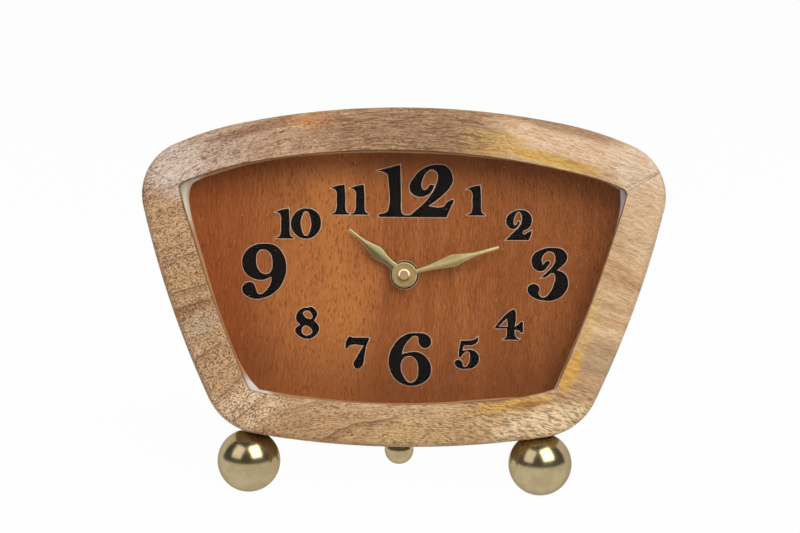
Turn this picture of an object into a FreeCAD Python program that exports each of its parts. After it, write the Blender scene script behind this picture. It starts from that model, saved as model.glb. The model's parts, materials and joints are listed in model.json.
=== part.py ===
"""Mantel clock: bowed hardwood case on three brass ball feet, glazed dial, quartz movement.

Every piece is drawn in the case's own frame, in millimetres: X to the right, Y from the front
face towards the back, Z up the case from the lowest point of its underside.  At the end the
whole clock is leaned back until all three ball feet touch the table (the row frame's Z = 0).
"""
import FreeCAD
import Part
import math
import os

V = FreeCAD.Vector
OUT = "parts"

# ---- Case outline, seen from the front ------------------------------------------------------
CASE_WIDTH = 255.6
CASE_HEIGHT = 165.5
CASE_DEPTH = 76.0
TOP_ARC_RADIUS = 400.0
SHOULDER_SPAN = 50.0          # the top arc tightens this far in from the widest point
SHOULDER_RADIUS = 163.0
SIDE_ARC_RADIUS = 476.0
SIDE_LEAN = 13.4              # degrees from upright where a side leaves its upper corner
BOTTOM_ARC_RADIUS = 445.0
UPPER_CORNER_RADIUS = 26.7
LOWER_CORNER_RADIUS = 31.0

# ---- Rails ----------------------------------------------------------------------------------
RAIL_WIDTH = 20.5             # face width of the wood beside the glass
OPENING_DROP = 0.7            # the top and bottom rails are this much wider than the sides
OPENING_TAPER = 0.88          # degrees by which those two rails close in towards the right
OPENING_BOTTOM_RADIUS = 355.0
REAR_WALL = 13.0              # wall left behind the lip that holds the glass
LIP_DEPTH = 4.5
FRONT_ROUND = 3.6
REAR_ROUND = 2.5
OPENING_ROUND = 0.8
OPENING_CORNER = 2.5
OPENING_LOWER_CORNER = 4.0
REBATE_CORNER = 6.0

# ---- Glass, spacer and dial -----------------------------------------------------------------
REBATE_CLEARANCE = 0.4
GLASS_THICKNESS = 2.0
SPACER_DEPTH = 9.5
SPACER_REVEAL = 0.3           # the spacer shows this much inside the wooden lip
SPACER_CORNER = 13.0
SPACER_LOWER_CORNER = 11.0
VENEER_THICKNESS = 0.6
BOARD_THICKNESS = 3.0
HUB_HEIGHT = 83.8
HUB_SHIFT = 0.85              # the hub is a little right of the case's middle
DIAL_HOLE_CLEARANCE = 0.3

# ---- Framer's points that hold the dial board in the rebate ---------------------------------
POINT_WIDTH = 8.0
POINT_BITE = 7.0              # length driven into the wood
POINT_REACH = 5.0             # length that bears on the board
POINT_THICKNESS = 0.5
TOP_POINT_SPACING = 62.0
BOTTOM_POINT_SPACING = 70.0
SIDE_POINT_SPREAD = 6.0       # degrees along the side arc between the two points of a side

# ---- Ball feet ------------------------------------------------------------------------------
FRONT_BALL_DIAMETER = 31.0
REAR_BALL_DIAMETER = 15.0
FOOT_SPREAD = 1.083           # distance between the front feet as a share of the lower corners'
FOOT_SHIFT = -3.55            # the three feet stand a little left of the case's middle
FRONT_FOOT_SETBACK = 14.0
REAR_FOOT_INSET = 8.0
FRONT_FLAT_DIAMETER = 10.0
REAR_FLAT_DIAMETER = 5.0
FOOT_BEDDING = 0.4            # the flats are let into the underside by about this much
CUP_CLEARANCE = 0.15
SOCKET_TOLERANCE = 1e-5       # how near two edges of a socket count as one
STUD_DIAMETER = 4.0
STUD_IN_WOOD = 9.0
STUD_IN_FRONT_BALL = 9.0
STUD_IN_REAR_BALL = 6.0

# ---- Fits -----------------------------------------------------------------------------------
PUSH_FIT = 0.03               # radial, between pieces that are pushed or screwed together
RUNNING_FIT = 0.05            # radial, between a turning piece and its bearing

# ---- Hands and hub --------------------------------------------------------------------------
HAND_THICKNESS = 0.45
HAND_HUB_DIAMETER = 12.2
MINUTE_LENGTH = 47.6
MINUTE_WIDEST_AT = 25.3
MINUTE_WIDTH = 6.4
MINUTE_NECK = 2.0
HOUR_LENGTH = 33.9
HOUR_WIDEST_AT = 17.2
HOUR_WIDTH = 5.9
HOUR_NECK = 3.2
HAND_TIP_WIDTH = 1.8
HAND_HOLLOW = 0.35            # how far each edge of the blade curves in from straight
MINUTE_ANGLE = 73.3           # degrees clockwise from the twelve
HOUR_ANGLE = -50.7
HAND_COLLAR_DIAMETER = 7.6
HAND_COLLAR_DEPTH = 0.5
HAND_SPACE = 1.5              # clear space between the two hands
NUT_DIAMETER = 6.1
NUT_DEPTH = 1.7
NUT_BEVEL = 0.35
NUT_DISH_DIAMETER = 4.4
NUT_DISH_DEPTH = 0.12
NUT_END_WALL = 0.5
DIAL_WASHER_DIAMETER = 14.4
DIAL_WASHER_THICKNESS = 0.5
HEX_ACROSS_FLATS = 10.0
HEX_NUT_DEPTH = 1.8
BUSH_DIAMETER = 8.0
BUSH_PROUD = 0.5              # bush standing out of the hex nut
BUSH_FLANGE_DIAMETER = 11.0
BUSH_FLANGE_DEPTH = 0.5
HOUR_TUBE_DIAMETER = 5.0
MINUTE_SHAFT_DIAMETER = 3.2
MINUTE_TENON_DIAMETER = 2.6
SECONDS_ARBOR_DIAMETER = 1.0
RUBBER_WASHER_DIAMETER = 22.0
RUBBER_WASHER_DEPTH = 1.0

# ---- Movement housing -----------------------------------------------------------------------
MOVEMENT_SIZE = 56.0
MOVEMENT_DEPTH = 16.4
MOVEMENT_WALL = 1.4
MOVEMENT_CORNER = 3.0
BATTERY_BAY_HEIGHT = 14.6
COVER_CLEARANCE = 0.1
PILLAR_DIAMETER = 3.6
PLATE_THICKNESS = 0.8
PLATE_CLEARANCE = 0.5
BOSS_DIAMETER = 2.6
PIVOT_DEPTH = 0.8             # depth of the blind holes that the arbors turn in

# ---- Battery and contacts -------------------------------------------------------------------
BATTERY_DIAMETER = 14.2
BATTERY_LENGTH = 50.5
BATTERY_NUB_DIAMETER = 5.2
BATTERY_NUB_LENGTH = 1.3
CONTACT_THICKNESS = 0.4
CONTACT_WIDTH = 7.0
CONTACT_HEIGHT = 11.0

# ---- Wheels: teeth, layers and arbors -------------------------------------------------------
TOOTH_BACKLASH = 0.10         # share of the tooth's thickness that is left free
ADDENDUM = 0.85               # in modules
DEDENDUM = 1.20
PRESSURE_ANGLE = 20.0
CANNON_TEETH = 12
MOTION_TEETH = 36
MOTION_PINION_TEETH = 10
HOUR_TEETH = 40
SETTING_TEETH = 10
CENTRE_TEETH = 64
THIRD_PINION_TEETH = 8
THIRD_TEETH = 60
SECONDS_PINION_TEETH = 8
SECONDS_TEETH = 50
INTERMEDIATE_PINION_TEETH = 10
INTERMEDIATE_TEETH = 60
ROTOR_TEETH = 10
MOTION_DISTANCE = 12.0        # hub axis to the motion wheel's arbor
THIRD_DISTANCE = 10.8         # hub axis to the third wheel's arbor
INTERMEDIATE_DISTANCE = 9.0   # hub axis to the intermediate wheel's arbor
ROTOR_DISTANCE = 8.75         # intermediate arbor to the rotor's
MOTION_DIRECTION = 150.0      # degrees from +X towards +Z
THIRD_DIRECTION = 35.0
INTERMEDIATE_DIRECTION = 100.0
ROTOR_DIRECTION = 60.0
SETTING_DIRECTION = 110.0
WHEEL_THICKNESS = 0.8
PINION_MARGIN = 0.1           # a pinion stands this much past the wheel it drives
WHEEL_GAP = 0.6               # clear space between two layers of wheels
ARBOR_DIAMETER = 0.8
SETTING_STEM_DIAMETER = 3.0
KNOB_DIAMETER = 11.0
KNOB_DEPTH = 3.2
KNOB_FLUTES = 16
KNOB_FLUTE_DIAMETER = 1.1
KNOB_CLEARANCE = 0.4

# ---- Stepping motor and circuit -------------------------------------------------------------
MAGNET_DIAMETER = 6.0
MAGNET_DEPTH = 1.8
STATOR_THICKNESS = 0.8
STATOR_AIR_GAP = 0.5
STATOR_ARM = 3.0
STATOR_POST_DIAMETER = 2.4
COIL_X = 22.6
COIL_LENGTH = 20.0
COIL_MIDDLE_Z = 6.0
COIL_DIAMETER = 4.4
BOBBIN_FLANGE = 1.0
BOBBIN_WALL = 0.3
CORE_WIDTH = 2.0
CIRCUIT_WIDTH = 10.0
CIRCUIT_HEIGHT = 20.0
CIRCUIT_THICKNESS = 0.8
CIRCUIT_POST_HEIGHT = 2.0
CHIP_DIAMETER = 5.0
CHIP_HEIGHT = 0.9
CRYSTAL_DIAMETER = 2.0
CRYSTAL_LENGTH = 6.0

# ---- Places along the depth of the clock ----------------------------------------------------
GLASS_Y = LIP_DEPTH
SPACER_Y = GLASS_Y + GLASS_THICKNESS
DIAL_Y = SPACER_Y + SPACER_DEPTH
BOARD_Y = DIAL_Y + VENEER_THICKNESS
BOARD_BACK_Y = BOARD_Y + BOARD_THICKNESS
MOVEMENT_Y = BOARD_BACK_Y + RUBBER_WASHER_DEPTH
MOVEMENT_BACK_Y = MOVEMENT_Y + MOVEMENT_DEPTH
WASHER_Y = DIAL_Y - DIAL_WASHER_THICKNESS
HEX_NUT_Y = WASHER_Y - HEX_NUT_DEPTH
BUSH_Y = HEX_NUT_Y - BUSH_PROUD
HOUR_HAND_Y = BUSH_Y - RUNNING_FIT * 4 - HAND_COLLAR_DEPTH - HAND_THICKNESS
MINUTE_HAND_Y = HOUR_HAND_Y - HAND_SPACE - HAND_THICKNESS
NUT_Y = MINUTE_HAND_Y - NUT_DEPTH

HOUSING_FLOOR_Y = MOVEMENT_Y + MOVEMENT_WALL
LAYER_STEP = WHEEL_THICKNESS + WHEEL_GAP
HOUR_LAYER_Y = HOUSING_FLOOR_Y + BUSH_FLANGE_DEPTH + WHEEL_GAP
MOTION_LAYER_Y = HOUR_LAYER_Y + LAYER_STEP
CENTRE_LAYER_Y = MOTION_LAYER_Y + LAYER_STEP
THIRD_LAYER_Y = CENTRE_LAYER_Y + LAYER_STEP
PLATE_Y = THIRD_LAYER_Y + WHEEL_THICKNESS + WHEEL_GAP
PLATE_BACK_Y = PLATE_Y + PLATE_THICKNESS
SECONDS_LAYER_Y = PLATE_BACK_Y + WHEEL_GAP
INTERMEDIATE_LAYER_Y = SECONDS_LAYER_Y + LAYER_STEP
STATOR_Y = INTERMEDIATE_LAYER_Y + WHEEL_THICKNESS + WHEEL_GAP
COVER_Y = MOVEMENT_BACK_Y - MOVEMENT_WALL


# ---- Small geometry helpers -----------------------------------------------------------------
def polar(centre, radius, angle):
    """Point at an angle (radians from +X towards +Z) on a circle in the XZ plane."""
    return centre + V(radius * math.cos(angle), 0, radius * math.sin(angle))


def bearing(origin, target):
    """Angle of the direction from one point to another in the XZ plane."""
    return math.atan2(target.z - origin.z, target.x - origin.x)


def rod(radius, y0, y1, x=0.0, z=0.0):
    """Round bar along Y from y0 to y1."""
    return Part.makeCylinder(radius, y1 - y0, V(x, y0, z), V(0, 1, 0))


def tube(outer, inner, y0, y1, x=0.0, z=0.0):
    """Round tube along Y, given by its two radii."""
    return rod(outer, y0, y1, x, z).cut(rod(inner, y0, y1, x, z))


def block(x0, x1, y0, y1, z0, z1):
    """Rectangular block between two corners."""
    return Part.makeBox(x1 - x0, y1 - y0, z1 - z0, V(x0, y0, z0))


def plate_of(points, y0, y1):
    """Prism along Y of a polygon whose points are given as (x, z)."""
    ring = [V(x, y0, z) for x, z in points]
    ring.append(ring[0])
    return Part.Face(Part.makePolygon(ring)).extrude(V(0, y1 - y0, 0))


def fuse_all(shapes):
    """One solid made of several that touch or overlap."""
    whole = shapes[0]
    for shape in shapes[1:]:
        whole = whole.fuse(shape)
    return whole.removeSplitter()


def cut_all(shape, tools):
    """A shape with every tool taken out of it."""
    for tool in tools:
        shape = shape.cut(tool)
    return shape


def at_hub(shape):
    """Move a piece that was drawn about the hub axis to its place in the case."""
    moved = shape.copy()
    moved.translate(V(HUB_SHIFT, 0, HUB_HEIGHT))
    return moved


# ---- Case outline ---------------------------------------------------------------------------
SHOULDER_X = CASE_WIDTH / 2 - SHOULDER_SPAN
TOP_CENTRE = V(0, 0, CASE_HEIGHT - TOP_ARC_RADIUS)
SHOULDER_ANGLE = math.acos(SHOULDER_X / TOP_ARC_RADIUS)
SHOULDER_CENTRE = polar(TOP_CENTRE, TOP_ARC_RADIUS - SHOULDER_RADIUS, SHOULDER_ANGLE)
BOTTOM_CENTRE = V(0, 0, BOTTOM_ARC_RADIUS)


def upper_corner_centre():
    """Centre of the upper corner's circle, which sets the widest point of the case."""
    x = CASE_WIDTH / 2 - UPPER_CORNER_RADIUS
    reach = SHOULDER_RADIUS - UPPER_CORNER_RADIUS
    rise = math.sqrt(reach ** 2 - (x - SHOULDER_CENTRE.x) ** 2)
    return V(x, 0, SHOULDER_CENTRE.z + rise)


UPPER_CORNER = upper_corner_centre()
SIDE_CENTRE = polar(UPPER_CORNER, SIDE_ARC_RADIUS - UPPER_CORNER_RADIUS,
                    math.pi - math.radians(SIDE_LEAN))


def nested_centre(first, first_radius, second, second_radius, corner):
    """Centre, on the right, of a circle of radius corner that touches two circles from inside."""
    reach_a = first_radius - corner
    reach_b = second_radius - corner
    gap = second - first
    along = (reach_a ** 2 - reach_b ** 2 + gap.Length ** 2) / (2 * gap.Length)
    rise = math.sqrt(reach_a ** 2 - along ** 2)
    unit = V(gap).normalize()
    foot = first + unit * along
    side = V(-unit.z, 0, unit.x) * rise
    return max((foot + side, foot - side), key=lambda point: point.x)


LOWER_CORNER = nested_centre(SIDE_CENTRE, SIDE_ARC_RADIUS, BOTTOM_CENTRE, BOTTOM_ARC_RADIUS,
                             LOWER_CORNER_RADIUS)


def half_outline(inset, upper_radius, lower_radius, drop, taper, bottom_arc):
    """Middle arcs at top and bottom and the four arcs between them, for the right half.

    The half is parallel to the case's outline, inset by a distance.  The top and bottom stand
    in by a further drop and close in towards the right by an angle, the taper.
    """
    top_radius = TOP_ARC_RADIUS - inset
    shoulder_radius = SHOULDER_RADIUS - inset
    side_radius = SIDE_ARC_RADIUS - inset
    bottom_radius = bottom_arc - inset
    top = polar(V(0, 0, CASE_HEIGHT - inset - drop), top_radius, -math.pi / 2 - taper)
    bottom = polar(V(0, 0, inset + drop), bottom_radius, math.pi / 2 + taper)
    start = SHOULDER_ANGLE - taper
    shoulder = polar(top, TOP_ARC_RADIUS - SHOULDER_RADIUS, start)
    upper = nested_centre(shoulder, shoulder_radius, SIDE_CENTRE, side_radius, upper_radius)
    lower = nested_centre(SIDE_CENTRE, side_radius, bottom, bottom_radius, lower_radius)
    shoulder_end = bearing(shoulder, upper)
    side_start = bearing(SIDE_CENTRE, upper)
    side_end = bearing(SIDE_CENTRE, lower)
    end = bearing(bottom, lower)
    arcs = [(shoulder, shoulder_radius, start, shoulder_end),
            (upper, upper_radius, shoulder_end, side_start),
            (SIDE_CENTRE, side_radius, side_start, side_end),
            (lower, lower_radius, side_end, end)]
    return (top, top_radius, start), (bottom, bottom_radius, end), arcs


def outline(inset, upper_radius, lower_radius, y, drop=0.0, taper=0.0,
            bottom_arc=BOTTOM_ARC_RADIUS):
    """Closed wire of the two halves, with its own corners; see half_outline."""
    angle = math.radians(taper)
    sizes = (inset, upper_radius, lower_radius, drop)
    top, bottom, right = half_outline(*sizes, angle, bottom_arc)
    left_top, left_bottom, left = half_outline(*sizes, -angle, bottom_arc)
    edges = [arc_edge(top[0], top[1], math.pi - left_top[2], top[2], y)]
    edges += [arc_edge(*arc, y) for arc in right]
    edges.append(arc_edge(bottom[0], bottom[1], bottom[2], -math.pi - left_bottom[2], y))
    edges += [mirrored_arc(*arc, y) for arc in reversed(left)]
    return Part.Wire(edges)


def arc_edge(centre, radius, start, end, y):
    """Arc in the plane at y, through its middle angle."""
    ends = [polar(centre, radius, angle) + V(0, y, 0) for angle in (start, (start + end) / 2, end)]
    return Part.Arc(*ends).toShape()


def mirrored_arc(centre, radius, start, end, y):
    """The same arc on the left half, run the other way round."""
    return arc_edge(V(-centre.x, 0, centre.z), radius, math.pi - end, math.pi - start, y)


def case_prism(inset, upper_radius, lower_radius, y0, y1):
    """Solid with the case's outline, inset by a distance, between two depths."""
    return Part.Face(outline(inset, upper_radius, lower_radius, y0)).extrude(V(0, y1 - y0, 0))


def opening_prism(margin, upper_radius, lower_radius, y0, y1):
    """Solid with the outline of the case's front opening, smaller by a margin all round."""
    wire = outline(RAIL_WIDTH + margin, upper_radius, lower_radius, y0, OPENING_DROP,
                   OPENING_TAPER, OPENING_BOTTOM_RADIUS)
    return Part.Face(wire).extrude(V(0, y1 - y0, 0))


def underside(x):
    """Height of the case's underside at a distance from its middle."""
    x = abs(x)
    if x < BOTTOM_ARC_RADIUS * math.cos(bearing(BOTTOM_CENTRE, LOWER_CORNER)):
        return BOTTOM_CENTRE.z - math.sqrt(BOTTOM_ARC_RADIUS ** 2 - x ** 2)
    return LOWER_CORNER.z - math.sqrt(LOWER_CORNER_RADIUS ** 2 - (x - LOWER_CORNER.x) ** 2)


# ---- Feet -----------------------------------------------------------------------------------
FOOT_SPACING = LOWER_CORNER.x * 2 * FOOT_SPREAD
LEFT_FOOT_X = FOOT_SHIFT - FOOT_SPACING / 2
RIGHT_FOOT_X = FOOT_SHIFT + FOOT_SPACING / 2
REAR_FOOT_Y = CASE_DEPTH - REAR_FOOT_INSET
FRONT_SEAT = (underside(LEFT_FOOT_X) + underside(RIGHT_FOOT_X)) / 2 + FOOT_BEDDING
REAR_SEAT = underside(FOOT_SHIFT) + FOOT_BEDDING


def seat_drop(ball_diameter, flat_diameter):
    """Distance from a ball foot's flat down to the ball's centre."""
    return math.sqrt(ball_diameter ** 2 - flat_diameter ** 2) / 2


FRONT_BALL_Z = FRONT_SEAT - seat_drop(FRONT_BALL_DIAMETER, FRONT_FLAT_DIAMETER)
REAR_BALL_Z = REAR_SEAT - seat_drop(REAR_BALL_DIAMETER, REAR_FLAT_DIAMETER)


def case_lean():
    """Angle, in radians, by which the case leans back when all three balls touch the table."""
    depth = REAR_FOOT_Y - FRONT_FOOT_SETBACK
    rise = FRONT_BALL_Z - REAR_BALL_Z
    drop = (FRONT_BALL_DIAMETER - REAR_BALL_DIAMETER) / 2
    return math.asin(drop / math.hypot(depth, rise)) - math.atan2(rise, depth)


def ball_foot(diameter, x, y, z, seat, stud_depth):
    """Ball with a flat on top and a threaded hole for its stud."""
    ball = Part.makeSphere(diameter / 2, V(x, y, z))
    above = block(x - diameter, x + diameter, y - diameter, y + diameter, seat, seat + diameter)
    hole = Part.makeCylinder(STUD_DIAMETER / 2 + PUSH_FIT, stud_depth, V(x, y, seat - stud_depth))
    return ball.cut(above).cut(hole)


def foot_stud(x, y, seat, in_ball):
    """Headless stud, half in the rail and half in the ball."""
    length = in_ball + STUD_IN_WOOD
    return Part.makeCylinder(STUD_DIAMETER / 2, length, V(x, y, seat - in_ball))


def foot_socket(diameter, x, y, z, seat):
    """What a foot takes out of the rail, turned about its axis: the ball's cup, stud's hole."""
    cup_radius = diameter / 2 + CUP_CLEARANCE
    hole_radius = STUD_DIAMETER / 2 + PUSH_FIT
    hole_end = seat + STUD_IN_WOOD
    seat_radius = math.sqrt(cup_radius ** 2 - (seat - z) ** 2)
    middle = math.atan2(seat - z, seat_radius) / 2
    corners = [V(0, 0, z), V(cup_radius, 0, z), V(seat_radius, 0, seat),
               V(hole_radius, 0, seat), V(hole_radius, 0, hole_end), V(0, 0, hole_end)]
    rim = Part.Arc(corners[1], polar(corners[0], cup_radius, middle), corners[2]).toShape()
    sides = [Part.LineSegment(a, b).toShape() for a, b in zip(corners[2:], corners[3:])]
    sides += [Part.LineSegment(corners[5], corners[0]).toShape(),
              Part.LineSegment(corners[0], corners[1]).toShape()]
    profile = Part.Face(Part.Wire([rim] + sides))
    socket = profile.revolve(V(0, 0, 0), V(0, 0, 1), 360)
    socket.translate(V(x, y, 0))
    return socket


def all_foot_sockets():
    """Sockets of the three feet in the bottom rail."""
    sockets = [foot_socket(FRONT_BALL_DIAMETER, x, FRONT_FOOT_SETBACK, FRONT_BALL_Z, FRONT_SEAT)
               for x in (LEFT_FOOT_X, RIGHT_FOOT_X)]
    sockets.append(foot_socket(REAR_BALL_DIAMETER, FOOT_SHIFT, REAR_FOOT_Y, REAR_BALL_Z,
                               REAR_SEAT))
    return sockets


def feet():
    """The three ball feet and their studs."""
    pieces = {}
    for name, x in (("front_foot_left", LEFT_FOOT_X), ("front_foot_right", RIGHT_FOOT_X)):
        pieces[name] = ball_foot(FRONT_BALL_DIAMETER, x, FRONT_FOOT_SETBACK, FRONT_BALL_Z,
                                 FRONT_SEAT, STUD_IN_FRONT_BALL)
    pieces["rear_foot"] = ball_foot(REAR_BALL_DIAMETER, FOOT_SHIFT, REAR_FOOT_Y, REAR_BALL_Z,
                                    REAR_SEAT, STUD_IN_REAR_BALL)
    pieces["foot_studs"] = Part.makeCompound([
        foot_stud(LEFT_FOOT_X, FRONT_FOOT_SETBACK, FRONT_SEAT, STUD_IN_FRONT_BALL),
        foot_stud(RIGHT_FOOT_X, FRONT_FOOT_SETBACK, FRONT_SEAT, STUD_IN_FRONT_BALL),
        foot_stud(FOOT_SHIFT, REAR_FOOT_Y, REAR_SEAT, STUD_IN_REAR_BALL)])
    return pieces


# ---- Framer's points ------------------------------------------------------------------------
def framers_point(centre, radius, angle):
    """Flat steel arrow: its point is in the rail, its tail bears on the dial board."""
    out = V(math.cos(angle), 0, math.sin(angle))
    across = V(-out.z, 0, out.x) * (POINT_WIDTH / 2)
    root = polar(centre, radius, angle)
    tail = root - out * POINT_REACH
    neck = root + out * (POINT_BITE / 2)
    tip = root + out * POINT_BITE
    ring = [tail - across, neck - across, tip, neck + across, tail + across]
    return plate_of([(p.x, p.z) for p in ring], BOARD_BACK_Y, BOARD_BACK_Y + POINT_THICKNESS)


def framers_points():
    """Three points along the top rail, two along the bottom and two in each side."""
    points = []
    top_radius = TOP_ARC_RADIUS - REAR_WALL
    for x in (-TOP_POINT_SPACING, 0.0, TOP_POINT_SPACING):
        points.append(framers_point(TOP_CENTRE, top_radius, math.acos(x / top_radius)))
    bottom_radius = BOTTOM_ARC_RADIUS - REAR_WALL
    for x in (-BOTTOM_POINT_SPACING / 2, BOTTOM_POINT_SPACING / 2):
        points.append(framers_point(BOTTOM_CENTRE, bottom_radius, -math.acos(x / bottom_radius)))
    middle = (bearing(SIDE_CENTRE, UPPER_CORNER) + bearing(SIDE_CENTRE, LOWER_CORNER)) / 2
    left_centre = V(-SIDE_CENTRE.x, 0, SIDE_CENTRE.z)
    for step in (-SIDE_POINT_SPREAD / 2, SIDE_POINT_SPREAD / 2):
        angle = middle + math.radians(step)
        side_radius = SIDE_ARC_RADIUS - REAR_WALL
        points.append(framers_point(SIDE_CENTRE, side_radius, angle))
        points.append(framers_point(left_centre, side_radius, math.pi - angle))
    return points


# ---- Rails ----------------------------------------------------------------------------------
def case_ring():
    """The whole wooden ring: rounded outside, lip at the front, rebate behind the lip."""
    body = case_prism(0.0, UPPER_CORNER_RADIUS, LOWER_CORNER_RADIUS, 0.0, CASE_DEPTH)
    body = body.makeFillet(FRONT_ROUND, edges_at(body, 0.0))
    body = body.makeFillet(REAR_ROUND, edges_at(body, CASE_DEPTH))
    body = body.cut(opening_prism(0.0, OPENING_CORNER, OPENING_LOWER_CORNER, 0.0, CASE_DEPTH))
    opening_edges = [edge for edge in edges_at(body, 0.0) if within_opening(edge)]
    body = body.makeFillet(OPENING_ROUND, opening_edges)
    return body.cut(case_prism(REAR_WALL, REBATE_CORNER, REBATE_CORNER, LIP_DEPTH, CASE_DEPTH))


def edges_at(shape, y):
    """Edges that lie wholly in the plane at y."""
    flat = 1e-6
    return [edge for edge in shape.Edges
            if abs(edge.BoundBox.YMin - y) < flat and abs(edge.BoundBox.YMax - y) < flat]


def within_opening(edge):
    """Whether an edge of the front face belongs to the opening and not to the outside."""
    middle = edge.valueAt((edge.FirstParameter + edge.LastParameter) / 2)
    half_rail = RAIL_WIDTH / 2
    guard = Part.Face(outline(half_rail, UPPER_CORNER_RADIUS - half_rail,
                              LOWER_CORNER_RADIUS - half_rail, 0.0))
    return guard.isInside(V(middle.x, 0.0, middle.z), 1e-6, True)


def mitre_wedges():
    """The four prisms that part the ring into rails along its mitred corners."""
    inner = RAIL_WIDTH * 2
    outer = CASE_WIDTH / 2
    upper = (bearing(SHOULDER_CENTRE, UPPER_CORNER) - math.radians(SIDE_LEAN)) / 2
    lower = (bearing(SIDE_CENTRE, LOWER_CORNER) + bearing(BOTTOM_CENTRE, LOWER_CORNER)) / 2
    upper_in = polar(UPPER_CORNER, -inner, upper)
    upper_out = polar(UPPER_CORNER, outer, upper)
    lower_in = polar(LOWER_CORNER, -inner, lower)
    lower_out = polar(LOWER_CORNER, outer, lower)
    high = CASE_HEIGHT + outer
    low = -outer
    right = [(upper_in.x, upper_in.z), (upper_out.x, upper_out.z),
             (lower_out.x, lower_out.z), (lower_in.x, lower_in.z)]
    left = [(-x, z) for x, z in right]
    top = [(-upper_in.x, upper_in.z), (upper_in.x, upper_in.z), (upper_out.x, upper_out.z),
           (upper_out.x, high), (-upper_out.x, high), (-upper_out.x, upper_out.z)]
    bottom = [(lower_in.x, lower_in.z), (-lower_in.x, lower_in.z), (-lower_out.x, lower_out.z),
              (-lower_out.x, low), (lower_out.x, low), (lower_out.x, lower_out.z)]
    names = ("top_rail", "right_rail", "bottom_rail", "left_rail")
    return dict(zip(names, (top, right, bottom, left)))


def rails():
    """The four mitred rails with the slots of the framer's points and the feet's sockets."""
    ring = cut_all(case_ring(), framers_points())
    pieces = {}
    for name, polygon in mitre_wedges().items():
        pieces[name] = ring.common(plate_of(polygon, 0.0, CASE_DEPTH))
    sockets = tuple(all_foot_sockets())
    for name in ("left_rail", "bottom_rail", "right_rail"):
        pieces[name] = pieces[name].cut(sockets, SOCKET_TOLERANCE)
    return pieces


# ---- Glass and dial -------------------------------------------------------------------------
def rebate_panel(y0, y1):
    """Sheet that drops into the rebate."""
    corner = REBATE_CORNER - REBATE_CLEARANCE
    return case_prism(REAR_WALL + REBATE_CLEARANCE, corner, corner, y0, y1)


def glass_and_dial():
    """Front glass, the spacer that keeps it off the dial, the veneer and its board."""
    spacer_window = opening_prism(SPACER_REVEAL, SPACER_CORNER, SPACER_LOWER_CORNER,
                                  SPACER_Y, DIAL_Y)
    centre_hole = at_hub(rod(BUSH_DIAMETER / 2 + DIAL_HOLE_CLEARANCE, DIAL_Y, BOARD_BACK_Y))
    return {"front_glass": rebate_panel(GLASS_Y, SPACER_Y),
            "dial_spacer": rebate_panel(SPACER_Y, DIAL_Y).cut(spacer_window),
            "dial_veneer": rebate_panel(DIAL_Y, BOARD_Y).cut(centre_hole),
            "dial_board": rebate_panel(BOARD_Y, BOARD_BACK_Y).cut(centre_hole),
            "framers_points": Part.makeCompound(framers_points())}


# ---- Hands ----------------------------------------------------------------------------------
def blade(length, widest_at, width, neck, y):
    """Leaf-shaped blade pointing up: hollow edges from the neck to the widest point and on."""
    start = HAND_HUB_DIAMETER / 2 - HAND_THICKNESS
    tip_centre = length - HAND_TIP_WIDTH / 2
    stations = [(neck / 2, start), (width / 2, widest_at), (HAND_TIP_WIDTH / 2, tip_centre)]
    edges = []
    for (x0, z0), (x1, z1) in zip(stations, stations[1:]):
        middle = ((x0 + x1) / 2 - HAND_HOLLOW, (z0 + z1) / 2)
        for side in (1, -1):
            ends = [V(side * x, y, z) for x, z in ((x0, z0), middle, (x1, z1))]
            edges.append(Part.Arc(*ends).toShape())
    half_tip = HAND_TIP_WIDTH / 2
    edges.append(Part.Arc(V(-half_tip, y, tip_centre), V(0, y, length),
                          V(half_tip, y, tip_centre)).toShape())
    edges.append(Part.LineSegment(V(-neck / 2, y, start), V(neck / 2, y, start)).toShape())
    wire = Part.Wire(Part.__sortEdges__(edges))
    return Part.Face(wire).extrude(V(0, HAND_THICKNESS, 0))


def hand(length, widest_at, width, neck, y, bore, angle, collar):
    """A hand turned to its angle, with its round hub, its collar behind and its bore."""
    hub = rod(HAND_HUB_DIAMETER / 2, y, y + HAND_THICKNESS)
    solid = fuse_all([hub, blade(length, widest_at, width, neck, y)])
    solid.rotate(V(0, 0, 0), V(0, 1, 0), angle)
    if collar:
        back = y + HAND_THICKNESS
        solid = fuse_all([solid, rod(HAND_COLLAR_DIAMETER / 2, back, back + HAND_COLLAR_DEPTH)])
    depth = HAND_THICKNESS + HAND_COLLAR_DEPTH
    return solid.cut(rod(bore + PUSH_FIT, y, y + depth))


def minute_nut():
    """Round cap nut with a bevelled rim and a shallow dished face."""
    radius = NUT_DIAMETER / 2
    nut = rod(radius, NUT_Y, MINUTE_HAND_Y)
    nut = nut.makeChamfer(NUT_BEVEL, edges_at(nut, NUT_Y))
    dish = rod(NUT_DISH_DIAMETER / 2, NUT_Y, NUT_Y + NUT_DISH_DEPTH)
    thread = rod(MINUTE_TENON_DIAMETER / 2 + PUSH_FIT, NUT_Y + NUT_END_WALL, MINUTE_HAND_Y)
    return nut.cut(dish).cut(thread)


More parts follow.
